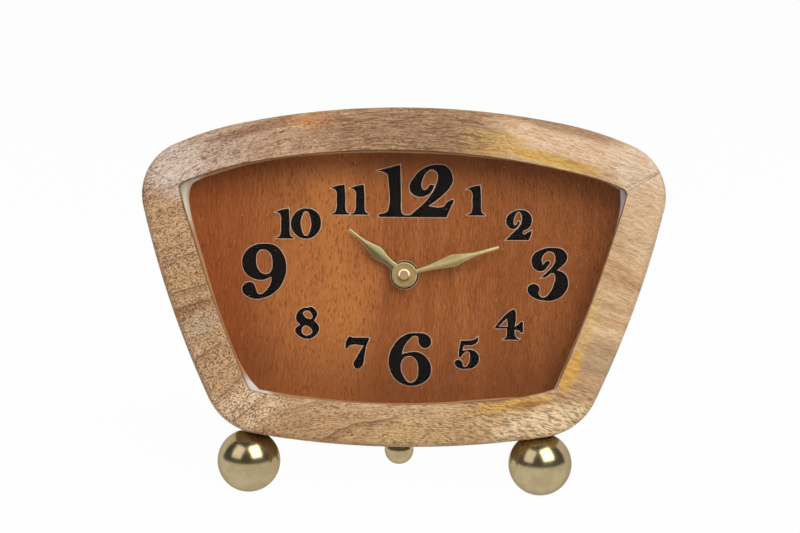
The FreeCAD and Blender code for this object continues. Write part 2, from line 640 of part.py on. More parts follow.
def hands_and_hub():
    """Both hands, the nuts and washers, and the threaded bush that clamps the dial."""
    tenon = MINUTE_TENON_DIAMETER / 2
    tube_radius = HOUR_TUBE_DIAMETER / 2
    bush_radius = BUSH_DIAMETER / 2
    hex_radius = HEX_ACROSS_FLATS / 2 / math.cos(math.pi / 6)
    hex_corners = [(hex_radius * math.cos(k * math.pi / 3), hex_radius * math.sin(k * math.pi / 3))
                   for k in range(6)]
    bush = fuse_all([rod(bush_radius, BUSH_Y, HOUSING_FLOOR_Y + BUSH_FLANGE_DEPTH),
                     rod(BUSH_FLANGE_DIAMETER / 2, HOUSING_FLOOR_Y,
                         HOUSING_FLOOR_Y + BUSH_FLANGE_DEPTH)])
    bore = rod(tube_radius + RUNNING_FIT, BUSH_Y, HOUSING_FLOOR_Y + BUSH_FLANGE_DEPTH)
    clear = bush_radius + PUSH_FIT
    pieces = {
        "minute_hand": hand(MINUTE_LENGTH, MINUTE_WIDEST_AT, MINUTE_WIDTH, MINUTE_NECK,
                            MINUTE_HAND_Y, tenon, MINUTE_ANGLE, False),
        "hour_hand": hand(HOUR_LENGTH, HOUR_WIDEST_AT, HOUR_WIDTH, HOUR_NECK,
                          HOUR_HAND_Y, tube_radius, HOUR_ANGLE, True),
        "minute_nut": minute_nut(),
        "dial_washer": tube(DIAL_WASHER_DIAMETER / 2, clear, WASHER_Y, DIAL_Y),
        "dial_nut": plate_of(hex_corners, HEX_NUT_Y, WASHER_Y).cut(
            rod(clear, HEX_NUT_Y, WASHER_Y)),
        "rubber_washer": tube(RUBBER_WASHER_DIAMETER / 2, clear, BOARD_BACK_Y, MOVEMENT_Y),
        "threaded_bush": bush.cut(bore)}
    return {name: at_hub(shape) for name, shape in pieces.items()}


# ---- Gears ----------------------------------------------------------------------------------
def involute(angle):
    """Involute function of a pressure angle."""
    return math.tan(angle) - angle


def half_tooth(teeth, pitch_radius, radius):
    """Half of a tooth's angle at a radius; radial below the base circle."""
    pressure = math.radians(PRESSURE_ANGLE)
    base = pitch_radius * math.cos(pressure)
    at_pitch = math.pi / (2 * teeth) * (1 - TOOTH_BACKLASH)
    slope = math.acos(base / max(radius, base))
    return at_pitch + involute(pressure) - involute(slope)


def gear(teeth, module, phase, y0, y1, place):
    """Spur gear about a place in the XZ plane, with one tooth's middle at the phase angle."""
    pitch_radius = module * teeth / 2
    root = pitch_radius - DEDENDUM * module
    tip = pitch_radius + ADDENDUM * module
    flank = [(root, half_tooth(teeth, pitch_radius, root)),
             (tip, half_tooth(teeth, pitch_radius, tip))]
    if teeth <= CANNON_TEETH:
        flank.insert(1, (pitch_radius, half_tooth(teeth, pitch_radius, pitch_radius)))
    ring = []
    for tooth in range(teeth):
        middle = phase + tooth * 2 * math.pi / teeth
        rising = [(radius, middle - half) for radius, half in flank]
        falling = [(radius, middle + half) for radius, half in reversed(flank)]
        ring += [polar(place, radius, angle) for radius, angle in rising + falling]
    return plate_of([(p.x, p.z) for p in ring], y0, y1)


def meshed_phase(phase, teeth, direction, follower_teeth):
    """Phase of a gear that meshes with another whose phase is known, in a given direction."""
    offset = (phase - direction) * teeth / follower_teeth
    return direction + math.pi - offset + math.pi / follower_teeth


def module_for(distance, teeth, other_teeth):
    """Module that makes two gears mesh at a distance."""
    return 2 * distance / (teeth + other_teeth)


HUB = V(0, 0, 0)
MOTION_ANGLE = math.radians(MOTION_DIRECTION)
THIRD_ANGLE = math.radians(THIRD_DIRECTION)
INTERMEDIATE_ANGLE = math.radians(INTERMEDIATE_DIRECTION)
ROTOR_ANGLE = math.radians(ROTOR_DIRECTION)
SETTING_ANGLE = math.radians(SETTING_DIRECTION)
CANNON_MODULE = module_for(MOTION_DISTANCE, CANNON_TEETH, MOTION_TEETH)
HOUR_MODULE = module_for(MOTION_DISTANCE, MOTION_PINION_TEETH, HOUR_TEETH)
CENTRE_MODULE = module_for(THIRD_DISTANCE, CENTRE_TEETH, THIRD_PINION_TEETH)
THIRD_MODULE = module_for(THIRD_DISTANCE, THIRD_TEETH, SECONDS_PINION_TEETH)
SECONDS_MODULE = module_for(INTERMEDIATE_DISTANCE, SECONDS_TEETH, INTERMEDIATE_PINION_TEETH)
ROTOR_MODULE = module_for(ROTOR_DISTANCE, INTERMEDIATE_TEETH, ROTOR_TEETH)
SETTING_DISTANCE = CANNON_MODULE * (MOTION_TEETH + SETTING_TEETH) / 2
MOTION_ARBOR = polar(HUB, MOTION_DISTANCE, MOTION_ANGLE)
THIRD_ARBOR = polar(HUB, THIRD_DISTANCE, THIRD_ANGLE)
INTERMEDIATE_ARBOR = polar(HUB, INTERMEDIATE_DISTANCE, INTERMEDIATE_ANGLE)
ROTOR_ARBOR = polar(INTERMEDIATE_ARBOR, ROTOR_DISTANCE, ROTOR_ANGLE)
SETTING_ARBOR = polar(MOTION_ARBOR, SETTING_DISTANCE, SETTING_ANGLE)
ARBOR_RADIUS = ARBOR_DIAMETER / 2
FRONT_PIVOT_Y = HOUSING_FLOOR_Y - PIVOT_DEPTH
BACK_PIVOT_Y = COVER_Y
BOSS_Y = STATOR_Y + STATOR_THICKNESS + WHEEL_GAP


def wheel_layer(y):
    """Depths between which a wheel's rim lies."""
    return y, y + WHEEL_THICKNESS


def pinion_layer(y):
    """Depths between which a pinion lies: a little past its wheel on both sides."""
    return y - PINION_MARGIN, y + WHEEL_THICKNESS + PINION_MARGIN


def minute_shaft():
    """Stepped minute shaft with its cannon pinion, hollow at the back for the seconds arbor."""
    radius = MINUTE_SHAFT_DIAMETER / 2
    shaft = rod(radius, MINUTE_HAND_Y + HAND_THICKNESS, THIRD_LAYER_Y - WHEEL_GAP)
    tenon_front = NUT_Y + NUT_END_WALL + PUSH_FIT
    tenon = rod(MINUTE_TENON_DIAMETER / 2, tenon_front, MINUTE_HAND_Y + HAND_THICKNESS)
    cannon = gear(CANNON_TEETH, CANNON_MODULE, 0.0, *pinion_layer(MOTION_LAYER_Y), HUB)
    socket = rod(SECONDS_ARBOR_DIAMETER / 2 + RUNNING_FIT, MOTION_LAYER_Y, THIRD_LAYER_Y)
    return fuse_all([shaft, tenon, cannon]).cut(socket)


def hour_wheel(phase):
    """Hour wheel moulded on its tube, which carries the hour hand at its front end."""
    wheel = gear(HOUR_TEETH, HOUR_MODULE, phase, *wheel_layer(HOUR_LAYER_Y), HUB)
    sleeve = rod(HOUR_TUBE_DIAMETER / 2, HOUR_HAND_Y, HOUR_LAYER_Y + WHEEL_THICKNESS)
    bore = rod(MINUTE_SHAFT_DIAMETER / 2 + RUNNING_FIT, HOUR_HAND_Y,
               HOUR_LAYER_Y + WHEEL_THICKNESS)
    return fuse_all([wheel, sleeve]).cut(bore)


def motion_works():
    """Gears between the two hands, and the setting stem that turns them from the back."""
    motion_phase = meshed_phase(0.0, CANNON_TEETH, MOTION_ANGLE, MOTION_TEETH)
    hour_phase = meshed_phase(0.0, MOTION_PINION_TEETH, MOTION_ANGLE + math.pi, HOUR_TEETH)
    setting_phase = meshed_phase(motion_phase, MOTION_TEETH, SETTING_ANGLE, SETTING_TEETH)
    motion = fuse_all([
        gear(MOTION_TEETH, CANNON_MODULE, motion_phase, *wheel_layer(MOTION_LAYER_Y), MOTION_ARBOR),
        gear(MOTION_PINION_TEETH, HOUR_MODULE, 0.0, HOUR_LAYER_Y - PINION_MARGIN, MOTION_LAYER_Y,
             MOTION_ARBOR),
        rod(ARBOR_RADIUS, FRONT_PIVOT_Y, PLATE_BACK_Y, MOTION_ARBOR.x, MOTION_ARBOR.z)])
    x, z = SETTING_ARBOR.x, SETTING_ARBOR.z
    stem_end = MOVEMENT_BACK_Y + KNOB_CLEARANCE + KNOB_DEPTH / 2
    setting = fuse_all([
        gear(SETTING_TEETH, CANNON_MODULE, setting_phase, *pinion_layer(MOTION_LAYER_Y),
             SETTING_ARBOR),
        rod(ARBOR_RADIUS, FRONT_PIVOT_Y, MOTION_LAYER_Y, x, z),
        rod(SETTING_STEM_DIAMETER / 2, MOTION_LAYER_Y + WHEEL_THICKNESS, stem_end, x, z)])
    return {"minute_shaft": minute_shaft(), "hour_wheel": hour_wheel(hour_phase),
            "motion_wheel": motion, "setting_stem": setting, "setting_knob": setting_knob()}


def setting_knob():
    """Fluted knob on the setting stem behind the movement."""
    x, z = SETTING_ARBOR.x, SETTING_ARBOR.z
    front = MOVEMENT_BACK_Y + KNOB_CLEARANCE
    back = front + KNOB_DEPTH
    knob = rod(KNOB_DIAMETER / 2, front, back, x, z)
    flutes = []
    for k in range(KNOB_FLUTES):
        groove = polar(SETTING_ARBOR, KNOB_DIAMETER / 2, k * 2 * math.pi / KNOB_FLUTES)
        flutes.append(rod(KNOB_FLUTE_DIAMETER / 2, front, back, groove.x, groove.z))
    stem_end = front + KNOB_DEPTH / 2
    flutes.append(rod(SETTING_STEM_DIAMETER / 2 + PUSH_FIT, front, stem_end, x, z))
    return cut_all(knob, flutes)


def going_train():
    """Wheels from the stepping motor's rotor to the centre wheel."""
    third_pinion_phase = meshed_phase(0.0, CENTRE_TEETH, THIRD_ANGLE, THIRD_PINION_TEETH)
    seconds_pinion_phase = meshed_phase(0.0, THIRD_TEETH, THIRD_ANGLE + math.pi,
                                        SECONDS_PINION_TEETH)
    inter_pinion_phase = meshed_phase(0.0, SECONDS_TEETH, INTERMEDIATE_ANGLE,
                                      INTERMEDIATE_PINION_TEETH)
    rotor_phase = meshed_phase(0.0, INTERMEDIATE_TEETH, ROTOR_ANGLE, ROTOR_TEETH)
    centre = gear(CENTRE_TEETH, CENTRE_MODULE, 0.0, *wheel_layer(CENTRE_LAYER_Y), HUB)
    centre = centre.cut(rod(MINUTE_SHAFT_DIAMETER / 2 + RUNNING_FIT, CENTRE_LAYER_Y,
                            CENTRE_LAYER_Y + WHEEL_THICKNESS))
    third = fuse_all([
        gear(THIRD_PINION_TEETH, CENTRE_MODULE, third_pinion_phase,
             CENTRE_LAYER_Y - PINION_MARGIN, THIRD_LAYER_Y, THIRD_ARBOR),
        gear(THIRD_TEETH, THIRD_MODULE, 0.0, *wheel_layer(THIRD_LAYER_Y), THIRD_ARBOR),
        rod(ARBOR_RADIUS, FRONT_PIVOT_Y, PLATE_BACK_Y, THIRD_ARBOR.x, THIRD_ARBOR.z)])
    seconds = fuse_all([
        gear(SECONDS_PINION_TEETH, THIRD_MODULE, seconds_pinion_phase,
             *pinion_layer(THIRD_LAYER_Y), HUB),
        gear(SECONDS_TEETH, SECONDS_MODULE, 0.0, *wheel_layer(SECONDS_LAYER_Y), HUB),
        rod(SECONDS_ARBOR_DIAMETER / 2, CENTRE_LAYER_Y, BACK_PIVOT_Y)])
    intermediate = fuse_all([
        gear(INTERMEDIATE_PINION_TEETH, SECONDS_MODULE, inter_pinion_phase,
             SECONDS_LAYER_Y - PINION_MARGIN, INTERMEDIATE_LAYER_Y, INTERMEDIATE_ARBOR),
        gear(INTERMEDIATE_TEETH, ROTOR_MODULE, 0.0, *wheel_layer(INTERMEDIATE_LAYER_Y),
             INTERMEDIATE_ARBOR),
        rod(ARBOR_RADIUS, PLATE_Y, BACK_PIVOT_Y, INTERMEDIATE_ARBOR.x, INTERMEDIATE_ARBOR.z)])
    rotor = fuse_all([
        gear(ROTOR_TEETH, ROTOR_MODULE, rotor_phase, *pinion_layer(INTERMEDIATE_LAYER_Y),
             ROTOR_ARBOR),
        rod(ARBOR_RADIUS, PLATE_Y, BACK_PIVOT_Y, ROTOR_ARBOR.x, ROTOR_ARBOR.z)])
    magnet_y = STATOR_Y + (STATOR_THICKNESS - MAGNET_DEPTH) / 2
    magnet = tube(MAGNET_DIAMETER / 2, ARBOR_RADIUS + PUSH_FIT, magnet_y,
                  magnet_y + MAGNET_DEPTH, ROTOR_ARBOR.x, ROTOR_ARBOR.z)
    return {"centre_wheel": centre, "third_wheel": third, "seconds_wheel": seconds,
            "intermediate_wheel": intermediate, "rotor_pinion": rotor, "rotor_magnet": magnet}


# ---- Housing --------------------------------------------------------------------------------
HALF_SIZE = MOVEMENT_SIZE / 2
INNER_HALF = HALF_SIZE - MOVEMENT_WALL
BAY_TOP = -INNER_HALF + BATTERY_BAY_HEIGHT
CHAMBER_FLOOR = BAY_TOP + MOVEMENT_WALL
PILLAR_INSET = INNER_HALF - PILLAR_DIAMETER / 2
PILLARS = [(-PILLAR_INSET, CHAMBER_FLOOR + PILLAR_DIAMETER / 2),
           (PILLAR_INSET, CHAMBER_FLOOR + PILLAR_DIAMETER / 2),
           (-PILLAR_INSET, PILLAR_INSET), (PILLAR_INSET, PILLAR_INSET)]
COIL_BOTTOM = COIL_MIDDLE_Z - COIL_LENGTH / 2
COIL_TOP = COIL_MIDDLE_Z + COIL_LENGTH / 2
COIL_Y = STATOR_Y + STATOR_THICKNESS / 2
CIRCUIT_LEFT = -INNER_HALF + PLATE_CLEARANCE
CIRCUIT_BOTTOM = CHAMBER_FLOOR + PLATE_CLEARANCE
CIRCUIT_MIDDLE_X = CIRCUIT_LEFT + CIRCUIT_WIDTH / 2
CIRCUIT_Y = PLATE_BACK_Y + CIRCUIT_POST_HEIGHT
CIRCUIT_POSTS = [(CIRCUIT_MIDDLE_X, CIRCUIT_BOTTOM + PILLAR_DIAMETER),
                 (CIRCUIT_MIDDLE_X, CIRCUIT_BOTTOM + CIRCUIT_HEIGHT - PILLAR_DIAMETER)]
STATOR_POSTS = [(COIL_X, COIL_BOTTOM - STATOR_ARM / 2), (COIL_X, COIL_TOP + STATOR_ARM / 2)]


def arbor_hole(place, radius, y0, y1):
    """Bearing hole for an arbor."""
    return rod(radius + RUNNING_FIT, y0, y1, place.x, place.z)


def front_case():
    """Moulded housing: wheel chamber above, battery bay below, both open at the back."""
    size = HALF_SIZE
    shell = block(-size, size, MOVEMENT_Y, MOVEMENT_BACK_Y, -size, size)
    upright = [edge for edge in shell.Edges
               if edge.BoundBox.YLength > MOVEMENT_DEPTH / 2]
    shell = shell.makeFillet(MOVEMENT_CORNER, upright)
    chamber = block(-INNER_HALF, INNER_HALF, HOUSING_FLOOR_Y, MOVEMENT_BACK_Y,
                    CHAMBER_FLOOR, INNER_HALF)
    bay = block(-INNER_HALF, INNER_HALF, HOUSING_FLOOR_Y, MOVEMENT_BACK_Y, -INNER_HALF, BAY_TOP)
    shell = shell.cut(chamber).cut(bay)
    shell = fuse_all([shell] + [rod(PILLAR_DIAMETER / 2, HOUSING_FLOOR_Y, PLATE_Y, x, z)
                                for x, z in PILLARS])
    holes = [rod(BUSH_DIAMETER / 2 + PUSH_FIT, MOVEMENT_Y, HOUSING_FLOOR_Y)]
    for place in (MOTION_ARBOR, THIRD_ARBOR, SETTING_ARBOR):
        holes.append(arbor_hole(place, ARBOR_RADIUS, FRONT_PIVOT_Y - RUNNING_FIT,
                                HOUSING_FLOOR_Y))
    return cut_all(shell, holes)


def back_cover():
    """Cover of the wheel chamber with the bosses that the rear pivots turn in."""
    gap = COVER_CLEARANCE
    cover = block(-INNER_HALF + gap, INNER_HALF - gap, COVER_Y, MOVEMENT_BACK_Y,
                  CHAMBER_FLOOR + gap, INNER_HALF - gap)
    bearings = [(HUB, SECONDS_ARBOR_DIAMETER / 2), (INTERMEDIATE_ARBOR, ARBOR_RADIUS),
                (ROTOR_ARBOR, ARBOR_RADIUS)]
    bosses = [rod(BOSS_DIAMETER / 2, BOSS_Y, COVER_Y, place.x, place.z)
              for place, radius in bearings]
    holes = [arbor_hole(place, radius, BOSS_Y, COVER_Y + RUNNING_FIT)
             for place, radius in bearings]
    holes.append(arbor_hole(SETTING_ARBOR, SETTING_STEM_DIAMETER / 2, COVER_Y, MOVEMENT_BACK_Y))
    return cut_all(fuse_all([cover] + bosses), holes)


def middle_plate():
    """Plate on the pillars that parts the two storeys of wheels and carries the motor."""
    gap = PLATE_CLEARANCE
    plate = block(-INNER_HALF + gap, INNER_HALF - gap, PLATE_Y, PLATE_BACK_Y,
                  CHAMBER_FLOOR + gap, INNER_HALF - gap)
    posts = [rod(PILLAR_DIAMETER / 2, PLATE_BACK_Y, CIRCUIT_Y, x, z) for x, z in CIRCUIT_POSTS]
    posts += [rod(STATOR_POST_DIAMETER / 2, PLATE_BACK_Y, STATOR_Y, x, z) for x, z in STATOR_POSTS]
    holes = [arbor_hole(HUB, SECONDS_ARBOR_DIAMETER / 2, PLATE_Y, PLATE_BACK_Y),
             arbor_hole(SETTING_ARBOR, SETTING_STEM_DIAMETER / 2, PLATE_Y, PLATE_BACK_Y)]
    for place in (MOTION_ARBOR, THIRD_ARBOR, INTERMEDIATE_ARBOR, ROTOR_ARBOR):
        holes.append(arbor_hole(place, ARBOR_RADIUS, PLATE_Y, PLATE_BACK_Y))
    return cut_all(fuse_all([plate] + posts), holes)


# ---- Motor and circuit ----------------------------------------------------------------------
def stator():
    """One-piece stator plate: two arms from the coil's core to the ring round the rotor."""
    right = COIL_X + CORE_WIDTH / 2
    low = COIL_BOTTOM - STATOR_ARM
    high = COIL_TOP + STATOR_ARM
    x, z = ROTOR_ARBOR.x, ROTOR_ARBOR.z
    well_radius = MAGNET_DIAMETER / 2 + STATOR_AIR_GAP
    pole = well_radius + STATOR_ARM
    y0, y1 = STATOR_Y, STATOR_Y + STATOR_THICKNESS
    parts = [rod(pole, y0, y1, x, z),
             block(x, right, y0, y1, COIL_TOP, high),
             block(x + well_radius, right, y0, y1, low, COIL_BOTTOM),
             block(x + well_radius, x + pole, y0, y1, low, z),
             block(COIL_X - CORE_WIDTH / 2, right, y0, y1, low, high)]
    slit = block(x - pole, x, y0, y1, z - STATOR_AIR_GAP / 2, z + STATOR_AIR_GAP / 2)
    return cut_all(fuse_all(parts), [rod(well_radius, y0, y1, x, z), slit])


def coil_part(radius, z0, z1):
    """Round bar about the coil's upright axis."""
    return Part.makeCylinder(radius, z1 - z0, V(COIL_X, COIL_Y, z0))


def motor():
    """The stator, and the bobbin and winding on its core."""
    half_width = CORE_WIDTH / 2 + PUSH_FIT
    half_depth = STATOR_THICKNESS / 2 + PUSH_FIT
    slot = block(COIL_X - half_width, COIL_X + half_width, COIL_Y - half_depth,
                 COIL_Y + half_depth, COIL_BOTTOM, COIL_TOP)
    barrel = math.hypot(half_width, half_depth) + BOBBIN_WALL
    rim = COIL_DIAMETER / 2
    bobbin = fuse_all([coil_part(barrel, COIL_BOTTOM, COIL_TOP),
                       coil_part(rim, COIL_BOTTOM, COIL_BOTTOM + BOBBIN_FLANGE),
                       coil_part(rim, COIL_TOP - BOBBIN_FLANGE, COIL_TOP)]).cut(slot)
    wound = (COIL_BOTTOM + BOBBIN_FLANGE, COIL_TOP - BOBBIN_FLANGE)
    winding = coil_part(rim - PUSH_FIT, *wound).cut(coil_part(barrel + PUSH_FIT, *wound))
    return {"stator": stator(), "coil_bobbin": bobbin, "coil_winding": winding}


def circuit():
    """Circuit board with the covered chip and the quartz crystal."""
    low = CIRCUIT_BOTTOM
    high = low + CIRCUIT_HEIGHT
    back = CIRCUIT_Y + CIRCUIT_THICKNESS
    board = block(CIRCUIT_LEFT, CIRCUIT_LEFT + CIRCUIT_WIDTH, CIRCUIT_Y, back, low, high)
    chip_z = low + CIRCUIT_HEIGHT / 4
    chip = rod(CHIP_DIAMETER / 2, back, back + CHIP_HEIGHT, CIRCUIT_MIDDLE_X, chip_z)
    chip = chip.makeFillet(CHIP_HEIGHT / 2, edges_at(chip, back + CHIP_HEIGHT))
    crystal_radius = CRYSTAL_DIAMETER / 2
    crystal = Part.makeCylinder(crystal_radius, CRYSTAL_LENGTH,
                                V(CIRCUIT_MIDDLE_X, back + crystal_radius,
                                  high - CRYSTAL_LENGTH - CRYSTAL_DIAMETER))
    return {"circuit_board": board, "timing_chip": chip, "quartz_crystal": crystal}


# ---- Battery --------------------------------------------------------------------------------
BATTERY_Y = MOVEMENT_BACK_Y - BATTERY_DIAMETER / 2
BATTERY_Z = -INNER_HALF + BATTERY_DIAMETER / 2


def battery():
    """Round cell lying in its bay, with the plates that touch its two ends."""
    nub_end = INNER_HALF - CONTACT_THICKNESS
    shoulder = nub_end - BATTERY_NUB_LENGTH
    base = nub_end - BATTERY_LENGTH
    can = Part.makeCylinder(BATTERY_DIAMETER / 2, shoulder - base, V(base, BATTERY_Y, BATTERY_Z),
                            V(1, 0, 0))
    nub = Part.makeCylinder(BATTERY_NUB_DIAMETER / 2, BATTERY_NUB_LENGTH,
                            V(shoulder, BATTERY_Y, BATTERY_Z), V(1, 0, 0))
    half = CONTACT_WIDTH / 2
    low, high = BATTERY_Z - CONTACT_HEIGHT / 2, BATTERY_Z + CONTACT_HEIGHT / 2
    positive = block(nub_end, INNER_HALF, BATTERY_Y - half, BATTERY_Y + half, low, high)
    wall = -INNER_HALF
    leaf = [(wall, low), (wall + CONTACT_THICKNESS, low), (base, BATTERY_Z - CONTACT_THICKNESS),
            (base, BATTERY_Z + CONTACT_THICKNESS), (wall + CONTACT_THICKNESS, high), (wall, high)]
    hollow = [(wall + CONTACT_THICKNESS, low + 2 * CONTACT_THICKNESS),
              (base - CONTACT_THICKNESS, BATTERY_Z),
              (wall + CONTACT_THICKNESS, high - 2 * CONTACT_THICKNESS)]
    spring = plate_of(leaf, BATTERY_Y - half, BATTERY_Y + half)
    spring = spring.cut(plate_of(hollow, BATTERY_Y - half, BATTERY_Y + half))
    return {"battery": fuse_all([can, nub]), "positive_contact": positive,
            "negative_contact": spring}


def movement():
    """Everything behind the dial board, moved to the hub."""
    pieces = {"movement_case": front_case(), "movement_cover": back_cover(),
              "middle_plate": middle_plate()}
    pieces.update(motion_works())
    pieces.update(going_train())
    pieces.update(motor())
    pieces.update(circuit())
    pieces.update(battery())
    return {name: at_hub(shape) for name, shape in pieces.items()}


# ---- Standing the clock on its feet ---------------------------------------------------------
def build_pieces():
    """Every piece of the clock in the case's own frame."""
    pieces = {}
    for group in (rails, glass_and_dial, feet, hands_and_hub, movement):
        pieces.update(group())
    return pieces


def standing_placement(pieces):
    """Placement that leans the clock back on its feet and centres it over the origin."""
    lean = FreeCAD.Rotation(V(1, 0, 0), -math.degrees(case_lean()))
    whole = FreeCAD.BoundBox()
    for shape in pieces.values():
        leaning = shape.copy()
        leaning.Placement = FreeCAD.Placement(V(0, 0, 0), lean).multiply(leaning.Placement)
        whole.add(leaning.optimalBoundingBox(False))
    return FreeCAD.Placement(V(-whole.Center.x, -whole.Center.y, -whole.ZMin), lean)


def main():
    """Build every piece and write one STEP file for each."""
    os.makedirs(OUT, exist_ok=True)
    pieces = build_pieces()
    placement = standing_placement(pieces)
    for name, shape in pieces.items():
        shape.transformShape(placement.toMatrix())
        shape.exportStep(os.path.join(OUT, name + ".step"))
        print("%-20s solids %d  valid %s  volume %.1f"
              % (name, len(shape.Solids), shape.isValid(), shape.Volume))


main()
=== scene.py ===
"""Mantel clock: bowed mango frame, beech dial with painted numerals, brass hands and ball feet.

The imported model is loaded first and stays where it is.  The classes below dress its pieces, shape
the rails' inner edge, the spacer, the hands and their nut anew, add the numerals of the dial, and
stand the clock in a plain studio.
"""
import json
import logging
import math
from collections.abc import Callable
from dataclasses import dataclass
from enum import Enum
from typing import Union

import bpy
from mathutils import Matrix, Vector
from mathutils.geometry import intersect_point_line


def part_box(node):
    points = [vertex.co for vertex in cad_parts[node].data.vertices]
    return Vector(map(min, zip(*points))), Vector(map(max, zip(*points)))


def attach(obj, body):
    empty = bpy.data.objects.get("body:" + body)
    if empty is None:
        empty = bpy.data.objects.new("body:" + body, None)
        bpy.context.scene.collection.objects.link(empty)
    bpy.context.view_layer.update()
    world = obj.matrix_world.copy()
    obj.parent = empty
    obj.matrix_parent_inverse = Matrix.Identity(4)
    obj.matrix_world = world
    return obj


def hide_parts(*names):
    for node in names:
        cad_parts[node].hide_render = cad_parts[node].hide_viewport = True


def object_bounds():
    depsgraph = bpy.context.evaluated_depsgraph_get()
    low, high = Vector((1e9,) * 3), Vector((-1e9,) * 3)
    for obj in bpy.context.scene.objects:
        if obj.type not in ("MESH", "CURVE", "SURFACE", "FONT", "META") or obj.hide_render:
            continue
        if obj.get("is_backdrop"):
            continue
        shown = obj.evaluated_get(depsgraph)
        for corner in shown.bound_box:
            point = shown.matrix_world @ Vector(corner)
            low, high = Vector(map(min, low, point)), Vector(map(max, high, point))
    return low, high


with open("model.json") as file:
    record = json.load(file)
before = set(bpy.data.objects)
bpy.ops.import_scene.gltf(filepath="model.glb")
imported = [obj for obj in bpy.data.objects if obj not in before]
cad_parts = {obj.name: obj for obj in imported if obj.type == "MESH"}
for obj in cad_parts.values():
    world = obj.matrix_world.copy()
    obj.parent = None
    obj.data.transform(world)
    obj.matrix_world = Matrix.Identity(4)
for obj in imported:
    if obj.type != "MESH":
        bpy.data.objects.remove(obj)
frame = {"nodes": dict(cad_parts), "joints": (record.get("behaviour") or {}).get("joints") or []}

logging.basicConfig(level=logging.INFO, format="%(message)s")
LOG = logging.getLogger("clock")
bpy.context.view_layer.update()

MILLIMETRE = 0.001
PER_METRE = 1000.0

Colour = tuple[float, float, float, float]
Triple = tuple[float, float, float]


def paint(red: int, green: int, blue: int) -> Colour:
    """Linear colour of an sRGB value.

    Args:
        red: Red, 0 to 255.
        green: Green, 0 to 255.
        blue: Blue, 0 to 255.

    Returns:
        The colour as a shader socket takes it, with full alpha.
    """
    def linear(level: int) -> float:
        """One channel as linear light."""
        share = level / 255
        return share / 12.92 if share <= 0.04045 else ((share + 0.055) / 1.055) ** 2.4

    return linear(red), linear(green), linear(blue), 1.0


# ---- Places ---------------------------------------------------------------------------------
@dataclass(frozen=True)
class CasePlace:
    """The leaning case's own frame: X right, Y back from the front face, Z up, in millimetres."""
    lean: float
    origin: Vector

    @classmethod
    def from_pack(cls, washer_depth: float, hub_height: float) -> "CasePlace":
        """Read the lean from the hands' joint and the place from the washer round their hub.

        Args:
            washer_depth: Depth of the washer's middle behind the front face.
            hub_height: Height of the hub above the case's lowest point.

        Returns:
            The case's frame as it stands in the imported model.
        """
        joint = next(j for j in frame["joints"] if j["name"] == "minute_hand_turn")
        lean = math.asin(-joint["axis"][2])
        low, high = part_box("dial_washer")
        drawn = Vector((0.0, washer_depth, hub_height)) * MILLIMETRE
        return cls(lean, (low + high) / 2 - Matrix.Rotation(-lean, 3, "X") @ drawn)

    def matrix(self) -> Matrix:
        """Matrix from the case's millimetres to the row frame's metres."""
        turn = Matrix.Rotation(-self.lean, 4, "X")
        return Matrix.Translation(self.origin) @ turn @ Matrix.Scale(MILLIMETRE, 4)

    def to_row(self, x: float, y: float, z: float) -> Vector:
        """A point of the case in the row frame, in metres."""
        return self.matrix() @ Vector((x, y, z))

    def shader_shift(self) -> Vector:
        """Shift of a Mapping node that turns object coordinates into the case's millimetres."""
        return -(Matrix.Rotation(self.lean, 3, "X") @ self.origin) * PER_METRE


HUB_HEIGHT = 83.8
WASHER_MIDDLE_Y = 15.75
DIAL_Y = 16.0
CASE = CasePlace.from_pack(WASHER_MIDDLE_Y, HUB_HEIGHT)


# ---- Shader maths ---------------------------------------------------------------------------
Term = Union["Flow", float]


class Flow:
    """A socket in a material; Python's operators on it add Math nodes."""

    def __init__(self, recipe: "Recipe", node: bpy.types.Node, socket: bpy.types.NodeSocket):
        """Keep the recipe, the node and the output that this flow stands for."""
        self.recipe = recipe
        self.node = node
        self.socket = socket

    def out(self, name: str) -> "Flow":
        """Another output of the same node."""
        return Flow(self.recipe, self.node, self.node.outputs[name])

    def __add__(self, other: Term) -> "Flow":
        """Sum."""
        return self.recipe.maths("ADD", self, other)

    def __radd__(self, other: Term) -> "Flow":
        """Sum with the number first."""
        return self.recipe.maths("ADD", other, self)

    def __sub__(self, other: Term) -> "Flow":
        """Difference."""
        return self.recipe.maths("SUBTRACT", self, other)

    def __rsub__(self, other: Term) -> "Flow":
        """Difference from a number."""
        return self.recipe.maths("SUBTRACT", other, self)

    def __mul__(self, other: Term) -> "Flow":
        """Product."""
        return self.recipe.maths("MULTIPLY", self, other)

    def __rmul__(self, other: Term) -> "Flow":
        """Product with the number first."""
        return self.recipe.maths("MULTIPLY", other, self)

    def __truediv__(self, other: Term) -> "Flow":
        """Quotient."""
        return self.recipe.maths("DIVIDE", self, other)

    def __abs__(self) -> "Flow":
        """Size without its sign."""
        return self.recipe.maths("ABSOLUTE", self, 0.0)

    def highest(self, other: Term) -> "Flow":
        """The larger of two terms."""
        return self.recipe.maths("MAXIMUM", self, other)

    def rising(self, low: float, high: float, start: float = 0.0, end: float = 1.0) -> "Flow":
        """Smooth step from the start below the low value to the end above the high one."""
        return self.recipe.add("ShaderNodeMapRange", {"interpolation_type": "SMOOTHSTEP"},
                               {"Value": self, "From Min": low, "From Max": high,
                                "To Min": start, "To Max": end})

    def falling(self, low: float, high: float) -> "Flow":
        """Smooth step from 1 below the low value to 0 above the high one."""
        return self.rising(low, high, 1.0, 0.0)


@dataclass(frozen=True)
class Patch:
    """A soft-edged oval of another tone on a face, in the case's millimetres."""
    middle: tuple[float, float]
    reach: tuple[float, float]
    tone: Colour
    strength: float = 1.0
    tilt: float = 0.0


